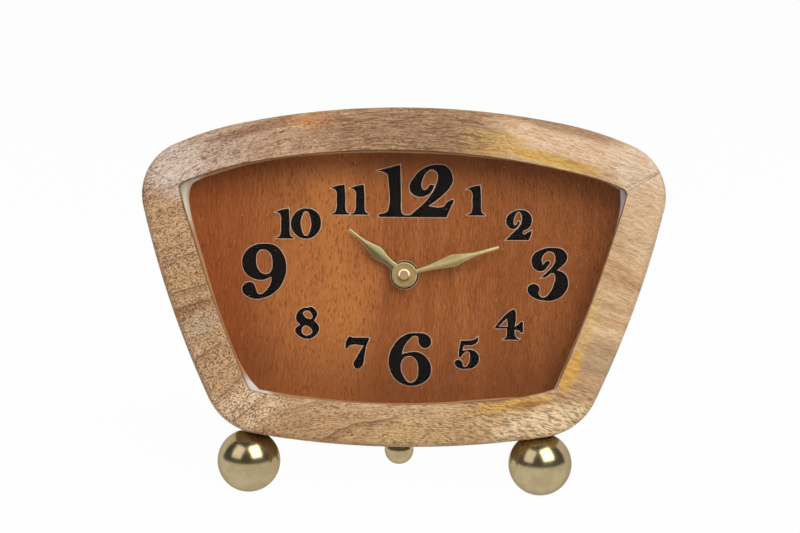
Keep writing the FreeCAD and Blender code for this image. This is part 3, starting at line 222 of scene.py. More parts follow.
class Recipe:
    """Builds the nodes of one material, or of the world."""

    def __init__(self, name: str, shelf: bpy.types.bpy_prop_collection = bpy.data.materials):
        """Start empty.

        Args:
            name: Name of the material or world.
            shelf: Where it is kept: bpy.data.materials or bpy.data.worlds.
        """
        self.block = shelf.new(name)
        self.block.use_nodes = True
        self.tree = self.block.node_tree
        self.tree.nodes.clear()

    def add(self, kind: str, settings: dict, inputs: dict, output: int = 0) -> Flow:
        """Add any node.

        Args:
            kind: The node's type.
            settings: Properties, set first; "stops" fills a colour ramp.
            inputs: Values or flows by socket name or number.
            output: Number of the output that the result stands for.

        Returns:
            A flow from that output.
        """
        node = self.tree.nodes.new(kind)
        for key, value in settings.items():
            if key == "stops":
                self._fill(node.color_ramp, value)
            else:
                setattr(node, key, value)
        for key, value in inputs.items():
            if isinstance(value, Flow):
                self.tree.links.new(value.socket, node.inputs[key])
            else:
                node.inputs[key].default_value = value
        return Flow(self, node, node.outputs[output])

    @staticmethod
    def _fill(ramp: bpy.types.ColorRamp, stops: tuple[tuple[float, Colour], ...]) -> None:
        """Give a colour ramp its stops."""
        while len(ramp.elements) < len(stops):
            ramp.elements.new(1.0)
        for element, (place, colour) in zip(ramp.elements, stops):
            element.position = place
            element.color = colour

    def place(self) -> Flow:
        """Where the point is, in the case's millimetres."""
        here = self.add("ShaderNodeTexCoord", {}, {}).out("Object")
        return self.mapped(here, (PER_METRE,) * 3, (CASE.lean, 0.0, 0.0), CASE.shader_shift())

    def mapped(self, where: Flow, scale: Triple = (1.0, 1.0, 1.0),
               turn: Triple = (0.0, 0.0, 0.0), move: Triple = (0.0, 0.0, 0.0)) -> Flow:
        """A point scaled, then turned, then moved."""
        return self.add("ShaderNodeMapping", {},
                        {"Vector": where, "Scale": scale, "Rotation": turn, "Location": move})

    def grain(self, where: Flow, degrees: float, move: Triple = (0.0, 0.0, 0.0)) -> Flow:
        """The point seen from a grain that runs at an angle from X towards Z."""
        return self.mapped(where, turn=(0.0, math.radians(degrees), 0.0), move=move)

    def split(self, where: Flow) -> tuple[Flow, Flow, Flow]:
        """The three numbers of a point."""
        parts = self.add("ShaderNodeSeparateXYZ", {}, {"Vector": where})
        return parts, parts.out("Y"), parts.out("Z")

    def noise(self, where: Flow, size: Triple, detail: float = 3.0, roughness: float = 0.55,
              distortion: float = 0.0) -> Flow:
        """Soft random cloud whose lumps are about as large as size, in millimetres."""
        scaled = self.mapped(where, tuple(1.0 / length for length in size))
        return self.add("ShaderNodeTexNoise", {},
                        {"Vector": scaled, "Scale": 1.0, "Detail": detail,
                         "Roughness": roughness, "Distortion": distortion})

    def spots(self, where: Flow, pitch: Triple, radius: float, share: float) -> Flow:
        """Scattered dashes.

        Args:
            where: The point, in the frame that the dashes lie along.
            pitch: Spacing of the dashes each way, in millimetres.
            radius: Half size of a dash as a share of the pitch.
            share: How many of the places hold a dash, from 0 to 1.

        Returns:
            1 on a dash and 0 beside it.
        """
        scaled = self.mapped(where, tuple(1.0 / length for length in pitch))
        cells = self.add("ShaderNodeTexVoronoi", {}, {"Vector": scaled, "Scale": 1.0})
        held = self.add("ShaderNodeSeparateColor", {}, {"Color": cells.out("Color")})
        return cells.falling(radius * 0.55, radius) * held.falling(share - 0.05, share + 0.05)

    def blend(self, factor: Term, under: Union[Flow, Colour], over: Union[Flow, Colour],
              mode: str = "MIX") -> Flow:
        """One colour laid over another.

        Args:
            factor: How much of the upper colour shows.
            under: The lower colour.
            over: The upper colour.
            mode: The Mix node's blend type.

        Returns:
            The mixed colour.
        """
        return self.add("ShaderNodeMix", {"data_type": "RGBA", "blend_type": mode},
                        {0: factor, 6: under, 7: over}, output=2)

    def ramp(self, factor: Flow, *stops: tuple[float, Colour]) -> Flow:
        """A colour ramp on a number."""
        return self.add("ShaderNodeValToRGB", {"stops": stops}, {"Fac": factor})

    def warped(self, where: Flow, size: Triple, amount: float) -> Flow:
        """The point pushed about by a soft cloud, up to about half the amount each way."""
        cloud = self.noise(where, size, detail=2.0).out("Color")
        centred = self.add("ShaderNodeVectorMath", {"operation": "SUBTRACT"},
                           {0: cloud, 1: (0.5, 0.5, 0.5)})
        push = self.add("ShaderNodeVectorMath", {"operation": "SCALE"},
                        {0: centred, "Scale": amount})
        return self.add("ShaderNodeVectorMath", {"operation": "ADD"}, {0: where, 1: push})

    def patched(self, colour: Flow, where: Flow, ragged: Flow,
                patches: tuple[Patch, ...]) -> Flow:
        """Lay soft ovals over a colour.

        Args:
            colour: The colour below.
            where: The point, in the case's millimetres.
            ragged: A cloud that breaks up the ovals' edges.
            patches: The ovals, lowest first.

        Returns:
            The colour with the ovals on it.
        """
        torn, core, fringe = 1.6, 0.55, 1.25
        for patch in patches:
            x, z = patch.middle
            centred = self.mapped(where, move=(-x, 0.0, -z))
            turned = self.grain(centred, patch.tilt)
            oval = self.mapped(turned, (1.0 / patch.reach[0], 0.0, 1.0 / patch.reach[1]))
            far = self.add("ShaderNodeVectorMath", {"operation": "LENGTH"},
                           {0: oval}).out("Value")
            mask = (far + (ragged - 0.5) * torn).falling(core, fringe)
            colour = self.blend(mask * patch.strength, colour, patch.tone)
        return colour

    def relief(self, height: Flow, depth: float, strength: float = 1.0) -> Flow:
        """A Bump node for a surface whose height varies by a depth in millimetres."""
        return self.add("ShaderNodeBump", {},
                        {"Height": height, "Distance": depth * MILLIMETRE,
                         "Strength": strength})

    def maths(self, operation: str, first: Term, second: Term) -> Flow:
        """A Math node on two terms."""
        return self.add("ShaderNodeMath", {"operation": operation}, {0: first, 1: second})

    def surface(self, inputs: dict) -> bpy.types.Material:
        """End the material with a Principled shader.

        Args:
            inputs: Values or flows of the shader's sockets.

        Returns:
            The finished material.
        """
        return self.close(self.add("ShaderNodeBsdfPrincipled", {}, inputs))

    def close(self, shader: Flow, kind: str = "ShaderNodeOutputMaterial") -> bpy.types.ID:
        """Link the last shader to the output.

        Args:
            shader: The last shader.
            kind: The output node's type.

        Returns:
            The finished material or world.
        """
        output = self.tree.nodes.new(kind)
        self.tree.links.new(shader.socket, output.inputs["Surface"])
        return self.block


# ---- Finishes -------------------------------------------------------------------------------
class Finish:
    """A finish that is mixed anew for each use, in the case's millimetres."""
    name: str

    def material(self) -> bpy.types.Material:
        """The finished material."""
        recipe = Recipe(self.name)
        return self.mixed(recipe, recipe.place())

    def mixed(self, recipe: Recipe, place: Flow) -> bpy.types.Material:
        """Mix the finish.

        Args:
            recipe: The empty recipe.
            place: The point on the surface.

        Returns:
            The finished material.
        """
        raise NotImplementedError


@dataclass(frozen=True)
class MangoWood(Finish):
    """Waxed mango: tan, with grey and yellow stains, pores as dots or dashes, growth lines, and a
    painted highlight at the top left corner.
    """
    name: str = "mango_wood"
    tones: tuple[Colour, ...] = (paint(184, 146, 106), paint(212, 176, 134), paint(228, 198, 158))
    pore: Colour = paint(104, 66, 38)
    fibre: Colour = paint(206, 176, 146)
    line: Colour = paint(112, 74, 48)
    olive: Colour = paint(112, 84, 46)
    arch: float = 0.0019
    dots_left_of: float = -52.0
    patches: tuple[Patch, ...] = (
        Patch((-92.0, 60.0), (34.0, 62.0), paint(212, 176, 134), 0.8),
        Patch((-96.0, 141.0), (38.0, 14.0), paint(212, 186, 168), 0.85, 20.0),
        # Painted highlight: the pale patch at the top left corner stands in for light falling
        # there.
        Patch((-112.0, 136.0), (15.0, 15.0), paint(232, 214, 200), 0.85),
        Patch((-107.0, 82.0), (12.0, 3.5), paint(204, 164, 112), 0.6, 20.0),
        Patch((-103.0, 67.0), (13.0, 3.0), paint(176, 134, 96), 0.7, 20.0),
        Patch((-100.0, 58.0), (12.0, 6.0), paint(208, 184, 156), 0.7, 26.0),
        Patch((-78.0, 18.0), (26.0, 12.0), paint(242, 212, 174), 0.95, 30.0),
        Patch((-74.0, 154.0), (22.0, 3.0), paint(146, 100, 70), 0.6, 16.0),
        Patch((-50.0, 149.0), (34.0, 7.0), paint(194, 160, 132), 0.7, 8.0),
        Patch((-43.0, 158.0), (15.0, 4.0), paint(214, 152, 96), 0.8),
        Patch((2.0, 155.0), (46.0, 11.0), paint(176, 143, 111), 0.85),
        Patch((22.0, 147.0), (28.0, 5.0), paint(178, 142, 108), 0.7),
        Patch((78.0, 148.0), (32.0, 8.0), paint(236, 204, 172), 0.85, -14.0),
        Patch((44.0, 150.0), (17.0, 4.5), paint(222, 184, 116), 0.7, -6.0),
        Patch((70.0, 140.6), (27.0, 3.0), paint(218, 176, 88), 0.85, -14.0),
        Patch((40.0, 144.4), (14.0, 1.6), paint(212, 168, 80), 0.75, -5.0),
        Patch((76.0, 156.0), (36.0, 2.6), paint(140, 108, 80), 0.6, -15.0),
        Patch((116.0, 118.0), (16.0, 30.0), paint(224, 196, 160), 0.8),
        Patch((112.0, 138.0), (16.0, 13.0), paint(232, 208, 180), 0.8, -30.0),
        Patch((96.0, 44.0), (13.0, 9.0), paint(176, 152, 120), 0.6, 10.0),
        Patch((90.5, 60.0), (3.0, 18.0), paint(220, 186, 116), 0.6, -19.0),
        Patch((81.5, 37.0), (3.6, 12.0), paint(226, 176, 84), 0.9, -24.0),
        Patch((-30.0, 8.0), (40.0, 8.0), paint(200, 160, 114), 0.7),
        Patch((14.0, 9.0), (40.0, 9.0), paint(214, 180, 130), 0.8, 4.0),
        Patch((70.0, 12.0), (28.0, 9.0), paint(248, 222, 178), 0.9, 9.0),
        Patch((54.0, 21.4), (23.0, 3.0), paint(226, 176, 88), 0.85, 9.0),
        Patch((61.0, 21.6), (9.0, 1.5), paint(160, 100, 44), 0.75, 9.0),
    )
    lines: tuple[tuple[tuple[float, float], tuple[float, float]], ...] = (
        ((-118.0, 88.0), (-101.0, 94.5)), ((-112.5, 73.5), (-95.0, 79.0)),
        ((-111.5, 66.0), (-94.0, 71.0)), ((-101.5, 42.0), (-88.5, 50.5)),
        ((-91.5, 21.0), (-79.0, 33.0)), ((-82.5, 11.0), (-66.0, 25.5)),
        ((-39.0, 3.5), (-24.0, 11.0)), ((-24.0, 11.0), (-1.5, 14.5)))
    joint: tuple[tuple[float, float], tuple[float, float]] = ((107.0, 124.5), (124.5, 134.5))

    def mixed(self, recipe: Recipe, place: Flow) -> bpy.types.Material:
        """Mix the finish."""
        across, depth, up = recipe.split(place)
        arched = recipe.add("ShaderNodeCombineXYZ", {}, {
            "X": across, "Y": depth, "Z": up + across * across * self.arch})
        drift = recipe.warped(arched, (38.0, 38.0, 20.0), 6.0)
        ragged = recipe.noise(drift, (9.0, 6.0, 3.0), detail=4.0)
        broad = recipe.noise(drift, (70.0, 30.0, 6.0), detail=4.0)
        colour = recipe.ramp(broad, (0.3, self.tones[0]), (0.5, self.tones[1]),
                             (0.7, self.tones[2]))
        colour = recipe.patched(colour, place, ragged, self.patches)
        wave = recipe.warped(drift, (6.0, 7.0, 3.0), 1.8)
        fibre = recipe.noise(wave, (8.0, 0.9, 0.55), detail=3.0, roughness=0.65)
        colour = recipe.blend(fibre.rising(0.4, 0.66) * 0.7, colour, self.fibre, "MULTIPLY")
        pores = self.pores(recipe, wave, drift, across, up, ragged)
        colour = recipe.blend(pores * 0.8, colour, self.pore)
        low_right = (across + (ragged - 0.5) * 30.0).rising(22.0, 38.0) * up.falling(20.0, 40.0)
        olive = recipe.noise(wave, (5.0, 1.2, 0.95), detail=2.0).rising(0.52, 0.58)
        colour = recipe.blend(olive * low_right * 0.65, colour, self.olive)
        loose = recipe.warped(place, (24.0, 24.0, 12.0), 3.0)
        for (x0, z0), (x1, z1) in self.lines:
            line = self.stroke(recipe, loose, place, (x0, z0), (x1, z1), 0.7)
            shade = self.stroke(recipe, loose, place, (x0, z0 - 1.6), (x1, z1 - 1.6), 2.4)
            colour = recipe.blend((line * (0.25 + ragged)).highest(shade * 0.28),
                                  colour, self.line)
        colour = recipe.blend(self.stroke(recipe, place, place, *self.joint, 0.24) * 0.8,
                              colour, self.pore)
        colour = recipe.blend(self.arris(across, depth, up) * (0.25 + ragged), colour, self.line)
        bump = recipe.relief(1.0 - pores * 0.7 - fibre * 0.3, 0.12, 0.6)
        return recipe.surface({"Base Color": colour, "Roughness": 0.46 + ragged * 0.14,
                               "Normal": bump, "Specular IOR Level": 0.25})

    def pores(self, recipe: Recipe, wave: Flow, drift: Flow, across: Flow, up: Flow,
              ragged: Flow) -> Flow:
        """Dark pores: dots at the left, dashes at the right, long fibres at the top's middle.

        Args:
            recipe: The material's recipe.
            wave: The point along the wavy grain.
            drift: The point along the smooth grain.
            across: Distance to the right of the hub.
            up: Height.
            ragged: A cloud that breaks up the borders.

        Returns:
            1 on a pore and 0 beside it.
        """
        dotted = (across + (ragged - 0.5) * 30.0).falling(
            self.dots_left_of - 12.0, self.dots_left_of + 12.0) * (
            up + across * 0.5 + ragged * 10.0).falling(66.0, 80.0)
        dots = recipe.noise(wave, (0.95, 0.8, 0.55), detail=1.0,
                            roughness=0.5).rising(0.51, 0.57)
        dashes = recipe.noise(wave, (2.0, 0.6, 0.42), detail=2.0, roughness=0.6).rising(0.51, 0.58)
        clumps = recipe.noise(drift, (26.0, 12.0, 5.0), detail=2.0).rising(0.3, 0.6)
        open_side = 0.4 + across.falling(28.0, 62.0) * 0.6
        short = dashes * (1.0 - dotted) * (clumps * 0.6 + 0.4) * open_side
        long = recipe.noise(drift, (12.0, 0.8, 0.6), detail=3.0, roughness=0.7).rising(0.47, 0.6)
        middle = (across + (ragged - 0.5) * 24.0).rising(-46.0, -26.0) * (
            across + (ragged - 0.5) * 24.0).falling(34.0, 52.0) * up.rising(130.0, 140.0)
        return (dots * dotted + short).highest(long * middle)

    def arris(self, across: Flow, depth: Flow, up: Flow) -> Flow:
        """The dark line along the front edge of the opening, strongest at the top.

        Args:
            across: Distance to the right of the hub.
            depth: Depth behind the front.
            up: Height.

        Returns:
            1 on the line and 0 beside it.
        """
        band = depth.rising(0.05, 0.25) * depth.falling(1.5, 2.2)
        arch = (up + across * across * 0.00155).falling(149.0, 150.0) * up.rising(16.0, 17.0)
        side = (abs(across + 0.85) - up * 0.345).falling(71.0, 72.0)
        return band * arch * side * (0.25 + up.rising(70.0, 125.0) * 0.75)

    @staticmethod
    def stroke(recipe: Recipe, where: Flow, straight: Flow, start: tuple[float, float],
               end: tuple[float, float], width: float) -> Flow:
        """A thin line from one point of the face to another.

        Args:
            recipe: The material's recipe.
            where: The point, pushed about where the line wanders.
            straight: The point itself, which ends the line.
            start: Where the line starts, in the case's millimetres.
            end: Where it ends.
            width: Half its width.

        Returns:
            1 on the line and 0 beside it.
        """
        middle = ((start[0] + end[0]) / 2, (start[1] + end[1]) / 2)
        span = math.hypot(end[0] - start[0], end[1] - start[1])
        angle = math.degrees(math.atan2(end[1] - start[1], end[0] - start[0]))
        move = (-middle[0], 0.0, -middle[1])
        _, _, off = recipe.split(recipe.grain(recipe.mapped(where, move=move), angle))
        along, _, _ = recipe.split(recipe.grain(recipe.mapped(straight, move=move), angle))
        return abs(off).falling(0.0, width) * abs(along).falling(span / 2 - 1.0, span / 2 + 1.0)


@dataclass(frozen=True)
class BeechVeneer(Finish):
    """Beech with an orange brown stain and upright grain, its short dark flecks, and painted shade
    at the right, top and bottom.
    """
    name: str = "beech_veneer"
    dark: Colour = paint(128, 70, 30)
    middle: Colour = paint(153, 88, 43)
    light: Colour = paint(180, 110, 60)
    fleck: Colour = paint(98, 50, 22)
    glowing: Colour = paint(206, 130, 68)
    reddish: Colour = paint(146, 68, 24)
    painted_shade: Colour = paint(104, 58, 26)

    def mixed(self, recipe: Recipe, place: Flow) -> bpy.types.Material:
        """Mix the finish."""
        drift = recipe.warped(place, (30.0, 30.0, 60.0), 3.0)
        stripe = recipe.noise(drift, (7.0, 3.0, 120.0), detail=3.0, roughness=0.5)
        thin = recipe.noise(drift, (0.5, 1.0, 6.0), detail=3.0, roughness=0.65)
        mixed = stripe * 0.24 + thin * 0.62 + 0.07
        colour = recipe.ramp(mixed, (0.35, self.dark), (0.5, self.middle), (0.65, self.light))
        across, _, up = recipe.split(place)
        glow = recipe.noise(place, (34.0, 30.0, 60.0), detail=1.0)
        warm = (across + (glow - 0.5) * 50.0).rising(-72.0, -42.0) * (
            across + (glow - 0.5) * 40.0).falling(-34.0, -8.0)
        colour = recipe.blend(warm * 0.5, colour, self.glowing)
        left = (across + (glow - 0.5) * 30.0).falling(-88.0, -62.0)
        colour = recipe.blend(left * 0.4, colour, self.reddish)
        # Painted shade: darker towards the right, where the right rail shades the dial.
        colour = recipe.blend(across.rising(10.0, 95.0) * 0.35, colour, self.painted_shade)
        # Painted shade: darker along the bottom and under the top rail.
        edge = up.falling(26.0, 66.0).highest(up.rising(128.0, 140.0) * 0.8)
        colour = recipe.blend(edge * 0.45, colour, self.painted_shade)
        flecks = recipe.noise(drift, (0.5, 1.1, 2.5), detail=1.0,
                              roughness=0.5).rising(0.57, 0.63)
        colour = recipe.blend(flecks * 0.58, colour, self.fleck)
        dust = recipe.spots(place, (9.0, 9.0, 9.0), 0.022, 0.4)
        colour = recipe.blend(dust * 0.5, colour, paint(214, 176, 142))
        bump = recipe.relief(thin - flecks * 0.5, 0.05, 0.5)
        return recipe.surface({"Base Color": colour, "Roughness": 0.46 + stripe * 0.16,
                               "Normal": bump, "Specular IOR Level": 0.08})


@dataclass(frozen=True)
class Ink(Finish):
    """Thick paint with a dusting of fine specks."""
    name: str
    colour: Colour
    second: Colour
    speck: Colour
    speckled: float

    def mixed(self, recipe: Recipe, place: Flow) -> bpy.types.Material:
        """Mix the finish."""
        cloud = recipe.noise(place, (1.6, 1.6, 1.6), detail=4.0)
        colour = recipe.blend(cloud.rising(0.35, 0.65), self.colour, self.second)
        specks = recipe.spots(place, (1.1, 1.1, 1.1), 0.16, self.speckled)
        colour = recipe.blend(specks * 0.45, colour, self.speck)
        fine = recipe.noise(place, (0.25, 0.25, 0.25), detail=2.0)
        return recipe.surface({"Base Color": colour, "Roughness": 0.5 + cloud * 0.2,
                               "Normal": recipe.relief(fine, 0.03, 0.5),
                               "Specular IOR Level": 0.03})


class Brushing(Enum):
    """Which way the fine scratches of a metal run."""
    NONE = "none"
    ROUND = "round"
    ALONG = "along"


@dataclass(frozen=True)
class Metal(Finish):
    """Metal with faint blotches and fine scratches."""
    name: str
    light: Colour
    dark: Colour
    roughness: float
    brushing: Brushing = Brushing.NONE
    angle: float = 0.0
    blotch: float = 4.0
    rim: float = 1.0
    metallic: float = 1.0

    def scratches(self, recipe: Recipe, place: Flow) -> Flow:
        """Fine scratches, round the hub or along one direction."""
        if self.brushing is Brushing.ROUND:
            return recipe.add("ShaderNodeTexNoise", {"noise_dimensions": "1D"},
                              {"W": hub_distance(recipe, place), "Scale": 9.0, "Detail": 2.0})
        if self.brushing is Brushing.ALONG:
            turned = recipe.grain(place, self.angle)
            return recipe.noise(turned, (9.0, 9.0, 0.16), detail=3.0)
        return recipe.noise(place, (0.5, 0.5, 0.5), detail=2.0)

    def mixed(self, recipe: Recipe, place: Flow) -> bpy.types.Material:
        """Mix the finish."""
        cloud = recipe.noise(place, (self.blotch,) * 3, detail=4.0)
        scratch = self.scratches(recipe, place)
        mixed = cloud.rising(0.38, 0.62) * 0.6 + scratch * 0.4
        colour = recipe.blend(mixed, self.dark, self.light)
        rough = self.roughness * (0.8 + cloud * 0.4)
        inputs = {"Base Color": colour, "Metallic": self.metallic, "Roughness": rough,
                  "Specular Tint": (self.rim, self.rim * 0.94, self.rim * 0.86, 1.0)}
        if self.brushing is not Brushing.NONE:
            inputs["Normal"] = recipe.relief(scratch, 0.02, 0.35)
        return recipe.surface(inputs)


def hub_distance(recipe: Recipe, place: Flow) -> Flow:
    """Distance of the point from the hub's axis, in millimetres."""
    flat = recipe.mapped(place, (1.0, 0.0, 1.0), move=(0.0, 0.0, -HUB_HEIGHT))
    return recipe.add("ShaderNodeVectorMath", {"operation": "LENGTH"}, {0: flat}).out("Value")


@dataclass(frozen=True)
class HandBrass(Finish):
    """Sheet brass brushed across the blade, with painted light: a lit and a shaded tone on the two
    sides of its ridge, and painted highlights along the ridge and at the tip.
    """
    name: str
    angle: float
    left: Colour = paint(158, 142, 94)
    right: Colour = paint(150, 132, 86)
    ridge: Colour = paint(188, 172, 122)
    tip: Colour = paint(186, 166, 122)
    ridge_highlight_share: float = 0.7
    hub: Colour = paint(158, 136, 82)
    metallic: float = 0.35

    def mixed(self, recipe: Recipe, place: Flow) -> bpy.types.Material:
        """Mix the finish."""
        centred = recipe.mapped(place, move=(0.0, 0.0, -HUB_HEIGHT))
        along, _, off = recipe.split(recipe.grain(centred, 90.0 - self.angle))
        lines = recipe.noise(recipe.grain(centred, -self.angle), (6.0, 6.0, 0.25), detail=3.0)
        cloud = recipe.noise(place, (2.4, 2.4, 2.4), detail=3.0)
        # Painted light: the two sides of the ridge take a lit tone and a shaded tone.
        side = (off + (cloud - 0.5) * 0.4).rising(-0.12, 0.12)
        colour = recipe.blend(side, self.right, self.left)
        # Painted highlights: a lighter band along the ridge and a lighter tip.
        middle = abs(off).falling(0.2, 1.5) * self.ridge_highlight_share
        colour = recipe.blend(middle, colour, self.ridge)
        colour = recipe.blend(along.rising(27.0, 34.0) * 0.7, colour, self.tip)
        hub = hub_distance(recipe, place).falling(5.9, 6.4)
        colour = recipe.blend(hub, colour, self.hub)
        colour = recipe.blend(lines.rising(0.3, 0.7) * 0.4, colour, self.left, "MULTIPLY")
        return recipe.surface({"Base Color": colour, "Metallic": self.metallic,
                               "Roughness": 0.38 + cloud * 0.12,
                               "Normal": recipe.relief(lines, 0.03, 0.4),
                               "Specular IOR Level": 0.2})


@dataclass(frozen=True)
class DialWasher(Finish):
    """Washer with a ragged near-black band and a thin pale outer edge."""
    name: str = "dial_washer_plate"
    band_from: float = 6.2
    edge: float = 6.86

    def mixed(self, recipe: Recipe, place: Flow) -> bpy.types.Material:
        """Mix the finish."""
        cloud = recipe.noise(place, (1.3, 1.3, 1.3), detail=4.0)
        far = hub_distance(recipe, place) + (cloud - 0.5) * 0.45
        pale = recipe.blend(cloud, paint(150, 118, 84), paint(206, 172, 134))
        colour = recipe.blend(far.rising(self.band_from - 0.1, self.band_from + 0.1),
                              paint(190, 176, 132), paint(20, 14, 9))
        colour = recipe.blend(far.rising(self.edge - 0.06, self.edge + 0.06), colour, pale)
        return recipe.surface({"Base Color": colour, "Metallic": 0.2,
                               "Roughness": 0.45 + cloud * 0.1, "Specular IOR Level": 0.1})


@dataclass(frozen=True)
class NutBrass(Finish):
    """Cap nut: painted light on its rosy rim, bright at the top and shaded below, round a rosy
    brown dished face.
    """
    name: str = "nut_brass"

    def mixed(self, recipe: Recipe, place: Flow) -> bpy.types.Material:
        """Mix the finish."""
        cloud = recipe.noise(place, (0.9, 0.9, 0.9), detail=3.0)
        far = hub_distance(recipe, place)
        _, _, up = recipe.split(place)
        rim = far.rising(2.0, 2.2)
        # Painted light: the rim is highlighted at the top and shaded towards the bottom.
        painted_rim_light = (up + (cloud - 0.5) * 1.2).rising(HUB_HEIGHT - 1.6, HUB_HEIGHT + 0.6)
        edge = recipe.blend(painted_rim_light, paint(132, 96, 58), paint(248, 226, 198))
        face = recipe.blend(cloud, paint(150, 116, 80), paint(178, 146, 106))
        colour = recipe.blend(rim, face, edge)
        return recipe.surface({"Base Color": colour, "Metallic": 0.4,
                               "Roughness": 0.36 - rim * 0.06, "Specular IOR Level": 0.3})


@dataclass(frozen=True)
class Moulded(Finish):
    """Moulded, painted or pressed stuff: a faint cloud of tone and a fine skin."""
    name: str
    light: Colour
    dark: Colour
    roughness: float
    cloud: float = 6.0
    skin: float = 0.4
    skin_depth: float = 0.03
    scatter: float = 0.0

    def mixed(self, recipe: Recipe, place: Flow) -> bpy.types.Material:
        """Mix the finish."""
        cloud = recipe.noise(place, (self.cloud,) * 3, detail=4.0)
        skin = recipe.noise(place, (self.skin,) * 3, detail=3.0)
        colour = recipe.blend(cloud.rising(0.3, 0.7) * 0.7 + skin * 0.3, self.dark, self.light)
        return recipe.surface({"Base Color": colour,
                               "Roughness": self.roughness + (skin - 0.5) * 0.12,
                               "Normal": recipe.relief(skin, self.skin_depth, 0.6),
                               "Subsurface Weight": self.scatter,
                               "Subsurface Radius": (0.001, 0.001, 0.001)})


@dataclass(frozen=True)
class Windings(Finish):
    """Fine enamelled wire laid turn by turn along the coil's upright length."""
    name: str = "copper_wire"
    wire: float = 0.22

    def mixed(self, recipe: Recipe, place: Flow) -> bpy.types.Material:
        """Mix the finish."""
        _, _, up = recipe.split(recipe.warped(place, (3.0, 3.0, 3.0), 0.25))
        turns = recipe.maths("PINGPONG", up, self.wire / 2) * (2 / self.wire)
        cloud = recipe.noise(place, (1.5, 1.5, 1.5))
        colour = recipe.ramp(turns * 0.7 + cloud * 0.3, (0.15, paint(92, 42, 22)),
                             (0.5, paint(186, 98, 56)), (0.9, paint(226, 142, 92)))
        return recipe.surface({"Base Color": colour, "Metallic": 0.85, "Roughness": 0.32,
                               "Normal": recipe.relief(turns, 0.05, 0.8)})


@dataclass(frozen=True)
class CircuitLaminate(Finish):
    """Green laminate with a few straight tracks under the lacquer."""
    name: str = "circuit_laminate"

    def mixed(self, recipe: Recipe, place: Flow) -> bpy.types.Material:
        """Mix the finish."""
        across, _, up = recipe.split(place)
        lanes = abs(recipe.maths("PINGPONG", across, 0.9) - 0.45).falling(0.1, 0.16)
        broken = recipe.noise(place, (1.5, 1.5, 5.0), detail=1.0).rising(0.47, 0.5)
        cloud = recipe.noise(place, (0.6, 0.6, 0.6))
        green = recipe.blend(cloud, paint(22, 74, 40), paint(30, 92, 50))
        colour = recipe.blend(lanes * broken * 0.8, green, paint(70, 132, 74))
        return recipe.surface({"Base Color": colour, "Roughness": 0.32 + cloud * 0.1,
                               "Normal": recipe.relief(lanes * broken, 0.04, 0.6)})


@dataclass(frozen=True)
class BatterySleeve(Finish):
    """Shrink sleeve of the cell: dark, with a band of another tone at its positive end."""
    name: str = "battery_sleeve"
    band_from: float = 14.5

    def mixed(self, recipe: Recipe, place: Flow) -> bpy.types.Material:
        """Mix the finish."""
        across, _, _ = recipe.split(place)
        cloud = recipe.noise(place, (5.0, 2.0, 2.0))
        body = recipe.blend(cloud, paint(36, 38, 42), paint(48, 50, 55))
        band = across.rising(self.band_from - 0.05, self.band_from + 0.05)
        colour = recipe.blend(band, body, paint(176, 112, 58))
        metal = across.rising(24.0, 24.1) + across.falling(-25.1, -25.0)
        colour = recipe.blend(metal, colour, paint(196, 196, 194))
        return recipe.surface({"Base Color": colour, "Metallic": metal.highest(band * 0.6),
                               "Roughness": 0.3 + cloud * 0.12})


@dataclass(frozen=True)
class PressedBoard(Finish):
    """Brown pressed fibre board with short pale and dark fibres."""
    name: str = "pressed_board"

    def mixed(self, recipe: Recipe, place: Flow) -> bpy.types.Material:
        """Mix the finish."""
        cloud = recipe.noise(place, (7.0, 7.0, 7.0), detail=5.0, roughness=0.65)
        fibres = recipe.noise(recipe.warped(place, (2.0, 2.0, 2.0), 2.0), (2.6, 0.5, 0.3),
                              detail=3.0)
        tangle = recipe.noise(recipe.grain(place, 70.0), (2.2, 0.5, 0.3), detail=3.0)
        mixed = cloud * 0.4 + fibres * 0.3 + tangle * 0.3
        colour = recipe.ramp(mixed, (0.36, paint(96, 70, 46)), (0.5, paint(128, 96, 66)),
                             (0.64, paint(156, 122, 88)))
        return recipe.surface({"Base Color": colour, "Roughness": 0.78,
                               "Normal": recipe.relief(mixed, 0.15, 0.5)})


@dataclass(frozen=True)
class ClearGlass(Finish):
    """Clear glass with a little dust, which lets the light through to the dial."""
    name: str = "clear_pane"

    def mixed(self, recipe: Recipe, place: Flow) -> bpy.types.Material:
        """Mix the finish."""
        dust = recipe.spots(place, (4.0, 4.0, 4.0), 0.045, 0.4)
        haze = recipe.noise(place, (30.0, 30.0, 30.0))
        pane = recipe.add("ShaderNodeBsdfPrincipled", {},
                          {"Base Color": recipe.blend(dust * 0.5, (1.0, 1.0, 1.0, 1.0),
                                                      paint(230, 226, 218)),
                           "Roughness": dust * 0.4 + haze * 0.01,
                           "Transmission Weight": 1.0, "IOR": 1.15})
        clear = recipe.add("ShaderNodeBsdfTransparent", {}, {"Color": (1.0, 1.0, 1.0, 1.0)})
        path = recipe.add("ShaderNodeLightPath", {}, {})
        lighting = path.out("Is Shadow Ray").highest(path.out("Is Diffuse Ray"))
        return recipe.close(recipe.add("ShaderNodeMixShader", {},
                                       {0: lighting, 1: pane, 2: clear}))


@dataclass(frozen=True)
class FloorCard(Finish):
    """White seamless card that shows white to the camera and keeps a faint shadow."""
    name: str = "floor_card"
    glow: float = 0.98

    def mixed(self, recipe: Recipe, place: Flow) -> bpy.types.Material:
        """Mix the finish."""
        cloud = recipe.noise(place, (40.0, 40.0, 40.0))
        tone = recipe.blend(cloud, paint(238, 238, 237), paint(242, 242, 242))
        card = recipe.add("ShaderNodeBsdfDiffuse", {}, {"Color": tone})
        white = recipe.add("ShaderNodeEmission", {},
                           {"Color": (1.0, 1.0, 1.0, 1.0), "Strength": 1.0})
        path = recipe.add("ShaderNodeLightPath", {}, {})
        seen = path.highest(path.out("Is Glossy Ray")).highest(path.out("Is Transmission Ray"))
        return recipe.close(recipe.add("ShaderNodeMixShader", {},
                                       {0: seen * self.glow, 1: card, 2: white}))


